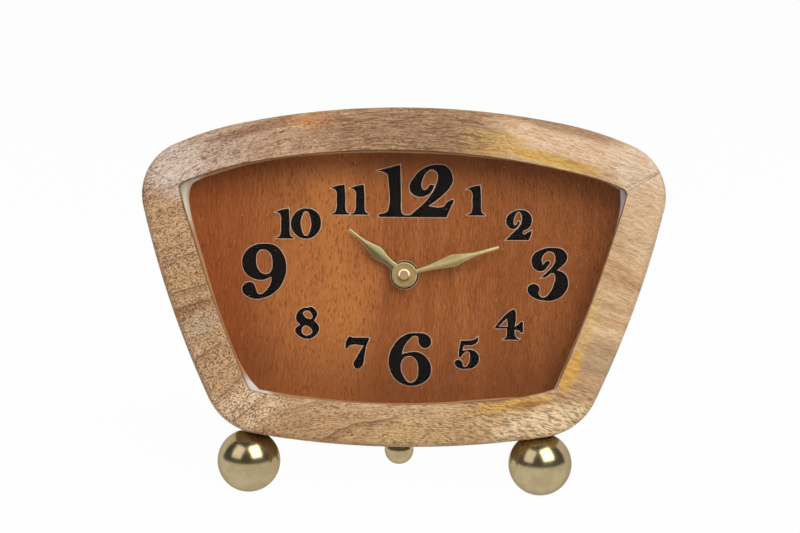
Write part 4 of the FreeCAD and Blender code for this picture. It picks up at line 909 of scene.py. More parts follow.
@dataclass(frozen=True)
class SpacerCard(Finish):
    """Pale card between glass and dial; along its straight runs a bright wood tone is painted on it
    as painted light, lifting the strip out of the rails' shade.
    """
    name: str = "spacer_card_pale"
    wood_tone_painted_light: Colour = paint(214, 174, 132)
    darker: Colour = paint(176, 134, 96)
    patches: tuple[Patch, ...] = (
        Patch((-105.0, 121.0), (9.0, 15.0), paint(236, 232, 208)),
        Patch((103.0, 119.0), (9.0, 18.0), paint(226, 220, 226)),
        Patch((-72.0, 28.0), (9.0, 9.0), paint(246, 244, 238)),
        Patch((71.0, 28.0), (8.0, 7.0), paint(226, 214, 198)))

    def mixed(self, recipe: Recipe, place: Flow) -> bpy.types.Material:
        """Mix the finish."""
        cloud = recipe.noise(place, (7.0, 7.0, 7.0), detail=4.0)
        # Painted light: the card takes a bright wood tone, set against the shade of the rails.
        colour = recipe.blend(cloud, self.wood_tone_painted_light, self.darker)
        colour = recipe.patched(colour, place, cloud, self.patches)
        fine = recipe.noise(place, (0.6, 0.6, 0.6), detail=3.0)
        return recipe.surface({"Base Color": colour, "Roughness": 0.6 + cloud * 0.15,
                               "Normal": recipe.relief(fine, 0.05, 0.5),
                               "Specular IOR Level": 0.15})


# ---- Making pieces --------------------------------------------------------------------------
def deselect() -> None:
    """Leave nothing selected."""
    bpy.ops.object.select_all(action="DESELECT")


def pick(*pieces: bpy.types.Object) -> None:
    """Select these pieces alone, the first one active."""
    deselect()
    for piece in pieces:
        piece.select_set(True)
    bpy.context.view_layer.objects.active = pieces[0]


def dress(finish: Finish, *nodes: str) -> None:
    """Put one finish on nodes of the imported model."""
    material = finish.material()
    for node in nodes:
        for slot in frame["nodes"][node].material_slots:
            slot.material = material
    LOG.info("%s: %s", material.name, ", ".join(nodes))


def fasten(piece: bpy.types.Object, name: str, body: str) -> None:
    """Name a new piece and make it ride on a body."""
    piece.name = name
    piece.data.name = name
    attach(piece, body)
    LOG.info("%s on %s: %d faces", name, body, len(piece.data.polygons))


def stand_in(piece: bpy.types.Object, node: str, name: str, body: str) -> None:
    """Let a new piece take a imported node's place.

    Args:
        piece: The new piece.
        node: The node that it replaces.
        name: The piece's name.
        body: The body that it rides on.
    """
    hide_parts(node)
    fasten(piece, name, body)


def smooth(piece: bpy.types.Object, degrees: float) -> None:
    """Shade a piece smooth, apart from edges sharper than an angle."""
    pick(piece)
    bpy.ops.object.shade_smooth_by_angle(angle=math.radians(degrees))


def upright(x: float, y: float, z: float, depth: float = 1.0) -> Matrix:
    """Matrix that stands a flat drawing up in the case, with its face to the front.

    Args:
        x: How far right its origin goes, in the case's millimetres.
        y: How far back.
        z: How far up.
        depth: Scale of its thickness.

    Returns:
        The matrix, into the row frame's metres.
    """
    return CASE.matrix() @ Matrix(((1, 0, 0, x), (0, 0, -depth, y), (0, 1, 0, z),
                                   (0, 0, 0, 1)))


Point = Union[tuple[float, float], tuple[float, float, bool]]
Contour = tuple[Point, ...]
CORNER = True
MERGE = 1e-6


def drawn(name: str, contours: tuple[Contour, ...], smoothness: int) -> bpy.types.Curve:
    """A flat filled shape.

    Args:
        name: Name of the shape.
        contours: Closed lines of smooth points and points marked as a CORNER.
        smoothness: Steps from one point to the next.

    Returns:
        The flat curve.
    """
    curve = bpy.data.curves.new(name, "CURVE")
    curve.dimensions = "2D"
    curve.fill_mode = "BOTH"
    curve.resolution_u = smoothness
    for contour in contours:
        spline = curve.splines.new("BEZIER")
        spline.bezier_points.add(len(contour) - 1)
        spline.use_cyclic_u = True
        for knot, point in zip(spline.bezier_points, contour):
            handle = "VECTOR" if len(point) == 3 else "AUTO"
            knot.co = (point[0], point[1], 0.0)
            knot.handle_left_type = handle
            knot.handle_right_type = handle
    return curve


def stood_up(curve: bpy.types.Curve, stand: Matrix) -> bpy.types.Object:
    """Turn a flat curve into a closed mesh that stands in the case.

    Args:
        curve: The curve, in millimetres.
        stand: The matrix that stands it up.

    Returns:
        The mesh, without a material.
    """
    piece = bpy.data.objects.new(curve.name, curve)
    bpy.context.scene.collection.objects.link(piece)
    pick(piece)
    bpy.ops.object.convert(target="MESH")
    piece = bpy.context.object
    piece.data.transform(stand)
    close_up(piece, MERGE)
    piece.data.materials.clear()
    return piece


def close_up(piece: bpy.types.Object, threshold: float) -> None:
    """Merge doubles and turn all faces outwards."""
    pick(piece)
    bpy.ops.object.mode_set(mode="EDIT")
    bpy.ops.mesh.select_all(action="SELECT")
    bpy.ops.mesh.remove_doubles(threshold=threshold)
    bpy.ops.mesh.normals_make_consistent(inside=False)
    bpy.ops.object.mode_set(mode="OBJECT")


# ---- Numerals -------------------------------------------------------------------------------
@dataclass(frozen=True)
class Numeral:
    """One number of the dial: its middle, measured from the hub's axis, and its contours."""
    label: str
    middle: tuple[float, float]
    contours: tuple[Contour, ...]


def moved(contour: Contour, across: float) -> Contour:
    """The same contour further to the right."""
    return tuple((point[0] + across, *point[1:]) for point in contour)


# Each number is drawn about its own middle on a grid of half millimetres.
ONE: Contour = (
    (2.0, 7.5, CORNER), (-1.0, 7.0), (-4.0, 6.0), (-5.0, 5.5, CORNER), (-3.0, 5.0), (-2.0, 3.5),
    (-2.0, 0.0), (-2.0, -4.5), (-3.0, -6.5), (-4.5, -7.0, CORNER), (-4.5, -7.5, CORNER),
    (4.5, -7.5, CORNER), (4.5, -7.0, CORNER), (3.0, -6.0), (2.5, -4.0), (2.5, 0.0))
TWO: Contour = (
    (1.5, 7.5), (5.0, 6.0), (6.5, 2.5), (5.0, -1.5), (2.0, -3.5), (2.5, -4.5), (4.5, -3.5),
    (6.5, -2.5, CORNER), (6.0, -5.0), (5.0, -7.5, CORNER), (-6.5, -7.5, CORNER), (-2.5, -3.5),
    (0.5, -0.5), (1.5, 3.5), (1.0, 5.5), (0.0, 6.5), (-1.5, 5.0), (-2.5, 1.5), (-2.0, 0.0),
    (-0.5, 1.5), (0.0, 2.0), (0.5, 1.5), (0.0, 0.0), (-2.5, -2.0), (-5.5, -0.5), (-6.0, 3.5),
    (-3.0, 6.5))
THREE: Contour = (
    (3.5, 13.0), (8.0, 11.5), (9.5, 8.0), (7.0, 4.0), (4.5, 2.0, CORNER), (8.0, 0.5),
    (10.0, -4.0), (8.5, -9.0), (4.0, -12.5), (-2.5, -13.0), (-8.0, -11.0), (-10.0, -7.5),
    (-8.0, -5.0), (-5.0, -5.5), (-4.0, -7.5), (-4.5, -9.5), (-2.5, -11.5), (1.0, -9.0),
    (3.0, -4.5), (3.5, -1.0), (2.5, 0.5), (-1.0, -1.5), (-3.5, -2.0, CORNER), (-1.0, 0.5),
    (2.0, 3.5), (3.5, 7.0), (2.5, 10.5), (1.0, 11.0), (-1.0, 10.5), (-3.0, 7.5),
    (-2.5, 4.5, CORNER), (-0.5, 6.5), (1.0, 6.0), (0.0, 4.0), (-2.5, 1.5), (-6.0, 2.0),
    (-8.0, 5.0), (-7.5, 9.0), (-3.5, 12.0))
FOUR: Contour = (
    (2.5, 7.5), (3.5, 4.5), (3.0, -1.0, CORNER), (5.0, 0.5), (6.0, 1.5, CORNER),
    (7.0, 1.5, CORNER), (7.0, -4.0, CORNER), (6.0, -4.0, CORNER), (5.0, -3.0),
    (3.0, -2.5, CORNER), (3.0, -4.5), (4.0, -6.5), (5.5, -7.0, CORNER), (5.0, -7.5, CORNER),
    (-3.0, -7.5, CORNER), (-3.0, -7.0, CORNER), (-1.5, -6.5), (-1.0, -4.5),
    (-1.0, -2.0, CORNER), (-6.5, -2.0, CORNER), (-7.0, -1.5, CORNER), (-3.0, 3.5), (1.0, 7.0))
FOUR_EYE: Contour = ((-1.0, 3.0, CORNER), (-0.5, -1.0, CORNER), (-5.0, -1.0, CORNER),
                     (-3.5, 0.5))
FIVE: Contour = (
    (-3.0, 6.0, CORNER), (0.0, 6.0), (3.5, 6.5), (5.5, 8.0, CORNER), (5.5, 6.0), (3.5, 4.0),
    (-1.5, 3.5, CORNER), (-2.0, 1.0, CORNER), (1.5, 1.5), (5.0, 0.0), (6.0, -3.5), (4.5, -6.5),
    (0.5, -8.0), (-5.0, -7.0), (-6.0, -4.5), (-4.0, -3.5), (-2.0, -5.0), (-2.0, -6.0),
    (-1.0, -7.0), (1.0, -5.0), (1.5, -2.5), (0.5, 0.5), (-2.0, -1.0), (-3.5, -2.5),
    (-4.0, -1.0))
SIX: Contour = (
    (4.0, 13.0), (8.5, 12.0), (10.5, 8.5), (9.0, 6.0), (7.0, 5.5), (5.0, 6.5), (4.0, 9.0),
    (4.0, 10.5), (2.5, 11.5), (-0.5, 9.5), (-3.0, 6.0), (-4.0, 2.5, CORNER), (0.0, 3.5),
    (4.0, 3.5), (8.5, 0.5), (10.5, -5.0), (9.0, -9.5), (4.5, -12.5), (-1.0, -13.0),
    (-6.5, -10.5), (-10.0, -5.0), (-10.5, 0.5), (-8.0, 7.0), (-2.5, 12.0))
SIX_EYE: Contour = ((0.0, 1.5), (3.0, -0.5), (4.0, -5.0), (3.0, -10.0), (0.0, -11.5),
                    (-3.0, -8.5), (-4.5, -3.5), (-3.0, 0.5))
SEVEN: Contour = (
    (-5.0, 7.0), (-3.5, 8.0), (-2.5, 7.5), (0.0, 7.5), (5.5, 7.5, CORNER), (6.0, 7.0, CORNER),
    (4.5, 3.5), (3.5, -2.0), (2.5, -6.5), (0.0, -8.0), (-2.0, -6.0), (-0.5, -2.5),
    (3.0, 3.5, CORNER), (-3.5, 3.5), (-5.0, 2.0, CORNER), (-6.0, 2.0, CORNER), (-6.0, 3.5))
EIGHT: Contour = (
    (0.5, 7.5), (1.5, 8.0), (3.5, 7.0), (5.0, 4.5), (3.5, 1.0, CORNER), (5.5, -1.0),
    (6.0, -3.0), (4.0, -6.5), (0.0, -8.0), (-4.0, -6.5), (-6.0, -3.5), (-3.5, -1.0, CORNER),
    (-5.5, 1.5), (-4.5, 5.5), (-1.5, 7.5))
EIGHT_EYES: tuple[Contour, ...] = (
    ((0.0, 6.0), (2.0, 4.5), (2.5, 2.5), (1.0, 2.0), (-1.5, 3.5), (-2.0, 5.0)),
    ((-1.0, -1.5), (1.5, -2.5), (2.5, -4.5), (1.0, -6.0), (-2.0, -5.5), (-2.5, -3.0)))
NINE: Contour = (
    (0.0, 13.5), (5.5, 12.5), (9.5, 8.0), (11.0, 2.0), (9.5, -5.0), (6.0, -10.0),
    (-0.5, -13.5), (-6.5, -13.5), (-11.0, -9.5), (-9.0, -6.0), (-5.5, -6.0), (-4.0, -9.0),
    (-2.5, -11.5), (1.0, -9.5), (3.5, -5.0), (3.5, -3.0, CORNER), (-0.5, -4.5), (-5.0, -4.0),
    (-9.0, -1.5), (-11.0, 3.5), (-10.0, 8.5), (-5.5, 12.5))
NINE_EYE: Contour = ((-0.5, 10.5), (2.5, 9.0), (4.0, 4.0), (3.0, -0.5), (0.0, -1.5),
                     (-3.0, 1.0), (-4.0, 5.5), (-3.0, 9.5))
TEN_NOUGHT: Contour = ((4.5, 7.5), (9.5, 5.5), (11.5, 0.0), (9.0, -5.5), (4.0, -7.5),
                       (-1.5, -5.0), (-3.5, 0.5), (-0.5, 6.0))
TEN_EYE: Contour = ((4.0, 6.0), (6.0, 3.0), (6.0, -3.5), (4.0, -6.0), (2.0, -3.0), (2.0, 3.5))
TWELVE: Contour = (
    (-7.5, 13.0, CORNER), (-13.0, 11.5), (-19.0, 10.0, CORNER), (-15.5, 9.0), (-14.0, 8.0),
    (-13.5, 5.5), (-13.5, -9.5), (-15.0, -11.0), (-17.5, -11.5), (-18.5, -12.5, CORNER),
    (-17.5, -13.0, CORNER), (15.5, -13.0, CORNER), (18.0, -7.0), (19.0, -5.0),
    (18.5, -4.0, CORNER), (15.5, -5.5), (14.0, -7.5), (6.5, -7.5, CORNER), (12.5, -3.0),
    (17.5, 2.5), (18.5, 6.0), (15.5, 12.0), (11.5, 13.0), (4.5, 11.5), (-1.0, 6.5),
    (-3.0, 1.0), (0.0, -2.5), (5.0, -2.5), (9.0, 1.5), (9.0, 3.0, CORNER), (7.0, 3.0),
    (6.0, 1.5), (4.5, 0.5, CORNER), (3.5, 1.0), (3.5, 5.5), (6.5, 10.0), (8.0, 10.5),
    (10.5, 9.0), (11.0, 7.0), (9.5, 1.5), (6.0, -4.0), (-2.5, -12.0, CORNER), (-6.0, -11.5),
    (-7.0, -9.0), (-7.0, -5.0))
NUMERALS = (
    Numeral("12", (5.0, 41.5), (TWELVE,)),
    Numeral("1", (35.0, 37.0), (ONE,)),
    Numeral("2", (56.0, 25.0), (TWO,)),
    Numeral("3", (70.5, 1.0), (THREE,)),
    Numeral("4", (51.5, -24.0), (FOUR, FOUR_EYE)),
    Numeral("5", (31.0, -38.0), (FIVE,)),
    Numeral("6", (3.0, -41.5), (SIX, SIX_EYE)),
    Numeral("7", (-23.0, -38.5), (SEVEN,)),
    Numeral("8", (-48.0, -24.0), (EIGHT, *EIGHT_EYES)),
    Numeral("9", (-69.5, 1.5), (NINE, NINE_EYE)),
    Numeral("10", (-53.0, 25.0), (moved(ONE, -6.5), TEN_NOUGHT, TEN_EYE)),
    Numeral("11", (-27.0, 37.0), (moved(ONE, -5.0), moved(ONE, 4.5))))


@dataclass(frozen=True)
class NumeralPaint:
    """Thickness and look of the painted numerals."""
    thickness: float = 0.11
    rim: float = 0.27
    rim_thickness: float = 0.07
    smoothness: int = 8


class Numerals:
    """The twelve numbers, each a raised layer of black paint with a thin pale rim."""

    LAYER = NumeralPaint()

    def __init__(self) -> None:
        """Mix the two paints."""
        self.black = Ink("numeral_black", paint(5, 3, 2), paint(12, 7, 5),
                         paint(96, 80, 70), 0.16).material()
        self.pale = Ink("numeral_rim", paint(232, 208, 184), paint(198, 164, 136),
                        paint(240, 226, 208), 0.5).material()

    def build(self) -> None:
        """Make all twelve."""
        for numeral in NUMERALS:
            face = self.layer(numeral, filled=True)
            rim = self.layer(numeral, filled=False)
            pick(face, rim)
            bpy.ops.object.join()
            fasten(face, f"numeral_{numeral.label}", "case")

    def layer(self, numeral: Numeral, filled: bool) -> bpy.types.Object:
        """The black face or the pale rim of one numeral.

        Args:
            numeral: Which number.
            filled: Whether this is the face and not the rim.

        Returns:
            The mesh, in its place on the dial.
        """
        curve = drawn(f"numeral_{numeral.label}", numeral.contours, self.LAYER.smoothness)
        if filled:
            deep = self.LAYER.thickness / 2
            flat = 1.0
            curve.extrude = deep
        else:
            deep = self.LAYER.rim_thickness / 2
            flat = deep / self.LAYER.rim
            curve.fill_mode = "NONE"
            curve.bevel_depth = self.LAYER.rim
            curve.bevel_resolution = 1
        x, z = numeral.middle
        piece = stood_up(curve, upright(x, DIAL_Y - deep, HUB_HEIGHT + z, flat))
        piece.data.materials.append(self.black if filled else self.pale)
        return piece


# ---- Turned and formed metal ----------------------------------------------------------------
ON_AXIS = 1e-4


def turned(profile: tuple[tuple[float, float], ...], solid: bool = False,
           segments: int = 72) -> bpy.types.Object:
    """A ring or a solid button turned about Z from its profile, loop by loop.

    Args:
        profile: Corners as (radius, height), in millimetres: round the section of a ring,
            or up the outside of a button.
        solid: Whether this is a button, closed at its foot and its top.
        segments: Number of sides.

    Returns:
        The closed mesh, drawn in millimetres about the origin.
    """
    deselect()
    first_radius, first_height = profile[0]
    bpy.ops.mesh.primitive_circle_add(vertices=segments, radius=first_radius,
                                      fill_type="NGON" if solid else "NOTHING",
                                      location=(0.0, 0.0, first_height))
    piece = bpy.context.object
    bpy.ops.object.transform_apply(location=True)
    bpy.ops.object.mode_set(mode="EDIT")
    bpy.ops.mesh.select_all(action="SELECT")
    for (old_radius, old_height), (radius, height) in zip(profile, profile[1:]):
        bpy.ops.mesh.extrude_region_move(
            TRANSFORM_OT_translate={"value": (0.0, 0.0, height - old_height)})
        share = radius / old_radius
        bpy.ops.transform.resize(value=(share, share, 1.0), center_override=(0.0, 0.0, height))
    if not solid:
        bpy.ops.object.mode_set(mode="OBJECT")
        for vertex in piece.data.vertices:
            vertex.select = vertex.index < segments or vertex.select
        bpy.ops.object.mode_set(mode="EDIT")
        bpy.ops.mesh.select_mode(type="EDGE")
        bpy.ops.mesh.bridge_edge_loops()
    bpy.ops.mesh.select_all(action="SELECT")
    bpy.ops.mesh.normals_make_consistent(inside=False)
    bpy.ops.object.mode_set(mode="OBJECT")
    return piece


@dataclass(frozen=True)
class Blade:
    """A ridged blade: half widths at distances from the hub's axis, in millimetres.

    The root is the first strip's length, and the ridge ends short of the flat tip.
    """
    stations: tuple[tuple[float, float], ...]
    root: float = 0.5
    flat_tip: float = 1.0
    ridge: float = 0.4
    thickness: float = 0.3
    edge: float = 0.16
    merge: float = 0.01

    def build(self, *finishes: bpy.types.Material) -> bpy.types.Object:
        """Draw the blade out of its root, station by station, along Y with its ridge up.

        Args:
            finishes: The finish of the blade and that of its bevelled edges.

        Returns:
            The blade, in millimetres.
        """
        start, half = self.stations[0]
        deselect()
        bpy.ops.mesh.primitive_grid_add(x_subdivisions=2, y_subdivisions=1, size=1.0,
                                        location=(0.0, 0.0, 0.0))
        piece = bpy.context.object
        bpy.ops.object.mode_set(mode="EDIT")
        bpy.ops.mesh.select_all(action="SELECT")
        bpy.ops.transform.resize(value=(2 * half, self.root, 1.0),
                                 center_override=(0.0, 0.0, 0.0))
        bpy.ops.transform.translate(value=(0.0, start - self.root / 2, 0.0))
        self.choose(piece, lambda place: place.y > start - self.root / 2)
        for (near, near_half), (far, far_half) in zip(self.stations, self.stations[1:]):
            bpy.ops.mesh.extrude_region_move(
                TRANSFORM_OT_translate={"value": (0.0, far - near, 0.0)})
            bpy.ops.transform.resize(value=(far_half / near_half, 1.0, 1.0),
                                     center_override=(0.0, far, 0.0))
        ridge_end = self.stations[-1][0] - self.flat_tip
        self.choose(piece, lambda place: abs(place.x) < ON_AXIS and place.y < ridge_end)
        bpy.ops.transform.translate(value=(0.0, 0.0, self.ridge))
        bpy.ops.object.mode_set(mode="OBJECT")
        for finish in finishes:
            piece.data.materials.append(finish)
        skin = piece.modifiers.new("thickness", "SOLIDIFY")
        skin.thickness = self.thickness
        skin.offset = -1.0
        bpy.ops.object.modifier_apply(modifier=skin.name)
        soft = piece.modifiers.new("edges", "BEVEL")
        soft.width = self.edge
        soft.segments = 2
        soft.angle_limit = math.radians(50)
        soft.material = len(finishes) - 1
        bpy.ops.object.modifier_apply(modifier=soft.name)
        close_up(piece, self.merge)
        return piece

    @staticmethod
    def choose(piece: bpy.types.Object, wanted: Callable[[Vector], bool]) -> None:
        """Select the vertices whose place passes a test, and the edges between them."""
        bpy.ops.mesh.select_mode(type="VERT")
        bpy.ops.mesh.select_all(action="DESELECT")
        bpy.ops.object.mode_set(mode="OBJECT")
        for vertex in piece.data.vertices:
            vertex.select = wanted(vertex.co)
        bpy.ops.object.mode_set(mode="EDIT")


@dataclass(frozen=True)
class Hand:
    """One hand: its blade and the round hub that sits on its tube or tenon."""
    node: str
    body: str
    angle: float
    front: float
    blade: Blade
    hub: tuple[tuple[float, float], ...]

    def build(self, *finishes: bpy.types.Material) -> None:
        """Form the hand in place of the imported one.

        Args:
            finishes: The finish of the hand and that of its bevelled edges.
        """
        blade = self.blade.build(*finishes)
        hub = turned(self.hub)
        for finish in finishes:
            hub.data.materials.append(finish)
        pick(hub, blade)
        bpy.ops.object.join()
        hand = bpy.context.object
        turn = Matrix.Rotation(math.radians(-self.angle), 4, "Z")
        hand.data.transform(upright(0.0, self.front, HUB_HEIGHT) @ turn)
        hand.matrix_world = Matrix.Identity(4)
        smooth(hand, 28)
        stand_in(hand, self.node, f"{self.node}_formed", self.body)


# ---- The clock's sub-assemblies -------------------------------------------------------------
# The spacer's window in the case's millimetres.  It was cut by hand: each corner is different.
SPACER_WINDOW: Contour = (
    (-107.0, 118.0), (-107.0, 124.0), (-105.5, 128.0), (-102.5, 130.0), (-95.5, 132.5),
    (-72.0, 139.0), (-32.0, 143.5), (0.0, 144.0), (37.0, 142.0), (76.5, 136.0),
    (96.0, 131.0), (105.5, 126.5, CORNER), (105.5, 117.0), (97.0, 87.0), (90.0, 67.0),
    (82.0, 47.5), (77.5, 37.0), (73.0, 27.5), (70.5, 25.5), (52.5, 24.0), (-1.5, 20.5),
    (-51.0, 23.5), (-71.5, 26.5, CORNER), (-77.5, 33.5), (-88.0, 55.5), (-101.0, 95.0))


@dataclass(frozen=True)
class Pull:
    """A pull on the opening's edge: where, how far it reaches and by how much."""
    middle: tuple[float, float]
    reach: float
    shift: tuple[float, float]

    def at(self, place: Vector) -> Vector:
        """How far this pull moves a point of the edge."""
        far = math.hypot(place.x - self.middle[0], place.z - self.middle[1])
        near = max(0.0, 1.0 - far / self.reach)
        return Vector((self.shift[0], 0.0, self.shift[1])) * near * near * (3.0 - 2.0 * near)


@dataclass(frozen=True)
class WoodenCase:
    """The four mitred rails, with the hand-eased edge of their opening.

    The pulls move what lies in front of the lip's depth and near the spacer's window.
    """
    rails: tuple[str, ...] = ("top_rail", "right_rail", "bottom_rail", "left_rail")
    lip: float = 4.6
    near: float = 6.0
    pulls: tuple[Pull, ...] = (
        Pull((60.0, 26.5), 46.0, (0.0, -2.3)), Pull((-69.0, 26.5), 32.0, (0.0, -1.4)),
        Pull((14.0, 21.5), 36.0, (0.0, -0.7)), Pull((105.5, 125.0), 36.0, (1.3, 1.0)),
        Pull((-108.0, 122.0), 28.0, (-1.0, 0.0)))

    def build(self) -> None:
        """Shape and dress the rails."""
        wood = MangoWood().material()
        for rail in self.rails:
            piece = self.shaped(rail)
            piece.data.materials.clear()
            piece.data.materials.append(wood)
            stand_in(piece, rail, f"{rail}_eased", "case")

    def shaped(self, rail: str) -> bpy.types.Object:
        """A copy of a rail with its edge of the opening pulled into shape.

        Args:
            rail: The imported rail.

        Returns:
            The copy.
        """
        piece = frame["nodes"][rail].copy()
        piece.data = piece.data.copy()
        bpy.context.scene.collection.objects.link(piece)
        close_up(piece, MERGE)
        to_case = CASE.matrix().inverted()
        piece.data.transform(to_case)
        for vertex in piece.data.vertices:
            if vertex.co.y < self.lip and self.beside_opening(vertex.co):
                for pull in self.pulls:
                    vertex.co += pull.at(vertex.co)
        piece.data.transform(CASE.matrix())
        smooth(piece, 30)
        return piece

    def beside_opening(self, place: Vector) -> bool:
        """Whether a point is on the opening's edge."""
        flat = Vector((place.x, place.z, 0.0))
        edge = [Vector((point[0], point[1], 0.0)) for point in SPACER_WINDOW]
        for start, end in zip(edge, edge[1:] + edge[:1]):
            foot, share = intersect_point_line(flat, start, end)
            foot = start if share < 0.0 else end if share > 1.0 else foot
            if (foot - flat).length < self.near:
                return True
        return False


@dataclass(frozen=True)
class DialSpacer:
    """The pale card frame that keeps the glass off the dial, cut by hand."""
    front: float = 6.52
    back: float = 15.98
    smoothness: int = 8

    def build(self) -> None:
        """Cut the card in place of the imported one."""
        curve = drawn("dial_spacer_cut", (self.outside(), SPACER_WINDOW), self.smoothness)
        curve.extrude = (self.back - self.front) / 2
        piece = stood_up(curve, upright(0.0, (self.back + self.front) / 2, 0.0))
        piece.data.materials.append(SpacerCard().material())
        smooth(piece, 30)
        stand_in(piece, "dial_spacer", "dial_spacer_cut", "case")

    @staticmethod
    def outside() -> Contour:
        """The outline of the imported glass, which lies in the same rebate."""
        to_case = CASE.matrix().inverted()
        places = [to_case @ vertex.co for vertex in frame["nodes"]["front_glass"].data.vertices]
        front = min(place.y for place in places)
        flat = {(round(place.x, 2), round(place.z, 2)) for place in places
                if place.y - front < MILLIMETRE}
        return tuple((x, z, CORNER) for x, z in sorted(
            flat, key=lambda point: math.atan2(point[1] - HUB_HEIGHT, point[0])))


class DialFace:
    """Glass, spacer, veneer and its board, the points that hold them, and the numerals."""

    def build(self) -> None:
        """Dress the sheets, cut the spacer and paint the numerals."""
        dress(ClearGlass(), "front_glass")
        dress(BeechVeneer(), "dial_veneer")
        dress(PressedBoard(), "dial_board")
        dress(Metal("spring_steel", paint(176, 178, 180), paint(140, 142, 146), 0.34,
                    Brushing.ALONG, 20.0), "framers_points", "foot_studs")
        DialSpacer().build()
        Numerals().build()


class HandsAndHub:
    """The two hands and the turned parts round their hub."""

    MINUTE = Hand("minute_hand", "minute_arbor", 73.3, 10.55, Blade((
        (4.5, 1.0), (11.0, 1.1), (16.5, 1.7), (22.5, 2.6), (25.0, 3.1), (30.0, 2.0),
        (35.5, 1.0), (39.0, 0.85), (47.0, 0.8), (48.0, 0.6), (48.3, 0.25))), (
            (1.42, 0.0), (5.55, 0.0), (5.75, 0.12), (5.75, 0.38), (5.6, 0.52), (5.2, 0.52),
            (5.0, 0.4), (1.42, 0.4)))
    HOUR = Hand("hour_hand", "hour_arbor", -51.0, 12.5, Blade((
        (5.0, 1.9), (9.0, 1.7), (12.0, 2.0), (15.0, 2.6), (17.5, 3.1), (22.5, 1.8),
        (25.5, 1.1), (28.0, 0.8), (34.5, 0.7), (35.0, 0.5), (35.3, 0.2))), (
            (2.56, -0.5), (3.8, -0.5), (3.8, 0.0), (6.05, 0.0), (6.22, 0.1), (6.22, 0.36),
            (6.08, 0.48), (5.7, 0.48), (5.6, 0.42), (2.56, 0.42)))
    NUT_FOOT = 10.05
    NUT = ((2.7, 0.0), (2.95, 0.2), (2.95, 1.1), (2.8, 1.36), (2.45, 1.5), (2.2, 1.42),
           (2.1, 1.25))

    def build(self) -> None:
        """Form the hands and the nut and dress the hub."""
        # Painted highlight: the hands' bevelled edges take a pale cream finish that stands in for
        # light catching them.
        painted_edge_highlight = Metal("hand_edge_highlight", paint(226, 208, 170), paint(206, 184, 140), 0.4,
                      metallic=0.3).material()
        self.MINUTE.build(HandBrass("minute_hand_brass", self.MINUTE.angle).material(), painted_edge_highlight)
        self.HOUR.build(HandBrass("hour_hand_brass", self.HOUR.angle, paint(104, 92, 56),
                                  paint(140, 134, 94), paint(136, 126, 86),
                                  paint(170, 152, 112), 0.2,
                                  paint(222, 210, 172)).material(), painted_edge_highlight)
        self.nut()
        dress(DialWasher(), "dial_washer")
        dress(Metal("turned_brass", paint(206, 184, 130), paint(166, 142, 90), 0.3,
                    Brushing.ROUND), "dial_nut", "threaded_bush", "minute_shaft")
        dress(Moulded("black_rubber", paint(34, 34, 34), paint(20, 20, 21), 0.7,
                      4.0, 0.3), "rubber_washer")

    def nut(self) -> None:
        """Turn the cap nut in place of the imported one."""
        piece = turned(self.NUT, solid=True)
        piece.data.transform(upright(0.0, self.NUT_FOOT, HUB_HEIGHT))
        piece.matrix_world = Matrix.Identity(4)
        smooth(piece, 40)
        piece.data.materials.clear()
        piece.data.materials.append(NutBrass().material())
        stand_in(piece, "minute_nut", "minute_nut_turned", "minute_arbor")


class BallFeet:
    """Three brass balls."""

    def build(self) -> None:
        """Dress the balls."""
        dress(Metal("polished_brass", paint(188, 172, 134), paint(168, 150, 112), 0.21, blotch=7.0,
                    rim=0.6), "front_foot_left", "front_foot_right", "rear_foot")


class Movement:
    """The quartz movement behind the dial."""

    def build(self) -> None:
        """Dress the housing, the wheels, the motor, the circuit and the cell."""
        dress(Moulded("black_housing", paint(30, 30, 32), paint(20, 20, 21), 0.5, 5.0, 0.35,
                      0.04), "movement_case", "movement_cover")
        dress(Moulded("black_knob", paint(38, 38, 40), paint(26, 26, 27), 0.42, 3.0, 0.5,
                      0.03), "setting_knob")
        dress(Moulded("white_acetal", paint(232, 229, 218), paint(218, 213, 200), 0.42, 3.0, 0.4,
                      0.02, 0.15),
              "middle_plate", "hour_wheel", "motion_wheel", "setting_stem", "centre_wheel",
              "third_wheel", "seconds_wheel", "intermediate_wheel", "rotor_pinion",
              "coil_bobbin")
        dress(Metal("dark_magnet", paint(92, 92, 96), paint(62, 62, 66), 0.4,
                    blotch=1.5), "rotor_magnet")
        dress(Windings(), "coil_winding")
        dress(Metal("bright_steel", paint(206, 208, 210), paint(166, 168, 172), 0.26,
                    Brushing.ALONG, 90.0),
              "stator", "quartz_crystal", "positive_contact", "negative_contact")
        dress(CircuitLaminate(), "circuit_board")
        dress(Moulded("black_epoxy", paint(24, 24, 26), paint(14, 14, 15), 0.24, 1.5, 0.8,
                      0.05), "timing_chip")
        dress(BatterySleeve(), "battery")


# ---- Studio ---------------------------------------------------------------------------------
def aimed(name: str, tool: bpy.types.ID, target: Vector, azimuth: float, elevation: float,
          distance: float) -> bpy.types.Object:
    """Hang a light or a lens so that it looks at a point.

    Args:
        name: Its name.
        tool: The light or the lens.
        target: The point it looks at.
        azimuth: Its angle to the right of the front.
        elevation: Its angle above the point.
        distance: How far away it is, in metres.

    Returns:
        The lamp or the camera.
    """
    flat = math.cos(elevation)
    way = Vector((math.sin(azimuth) * flat, -math.cos(azimuth) * flat, math.sin(elevation)))
    rig = bpy.data.objects.new(name, tool)
    rig.location = target + way * distance
    rig.rotation_euler = way.to_track_quat("Z", "Y").to_euler()
    bpy.context.scene.collection.objects.link(rig)
    return rig


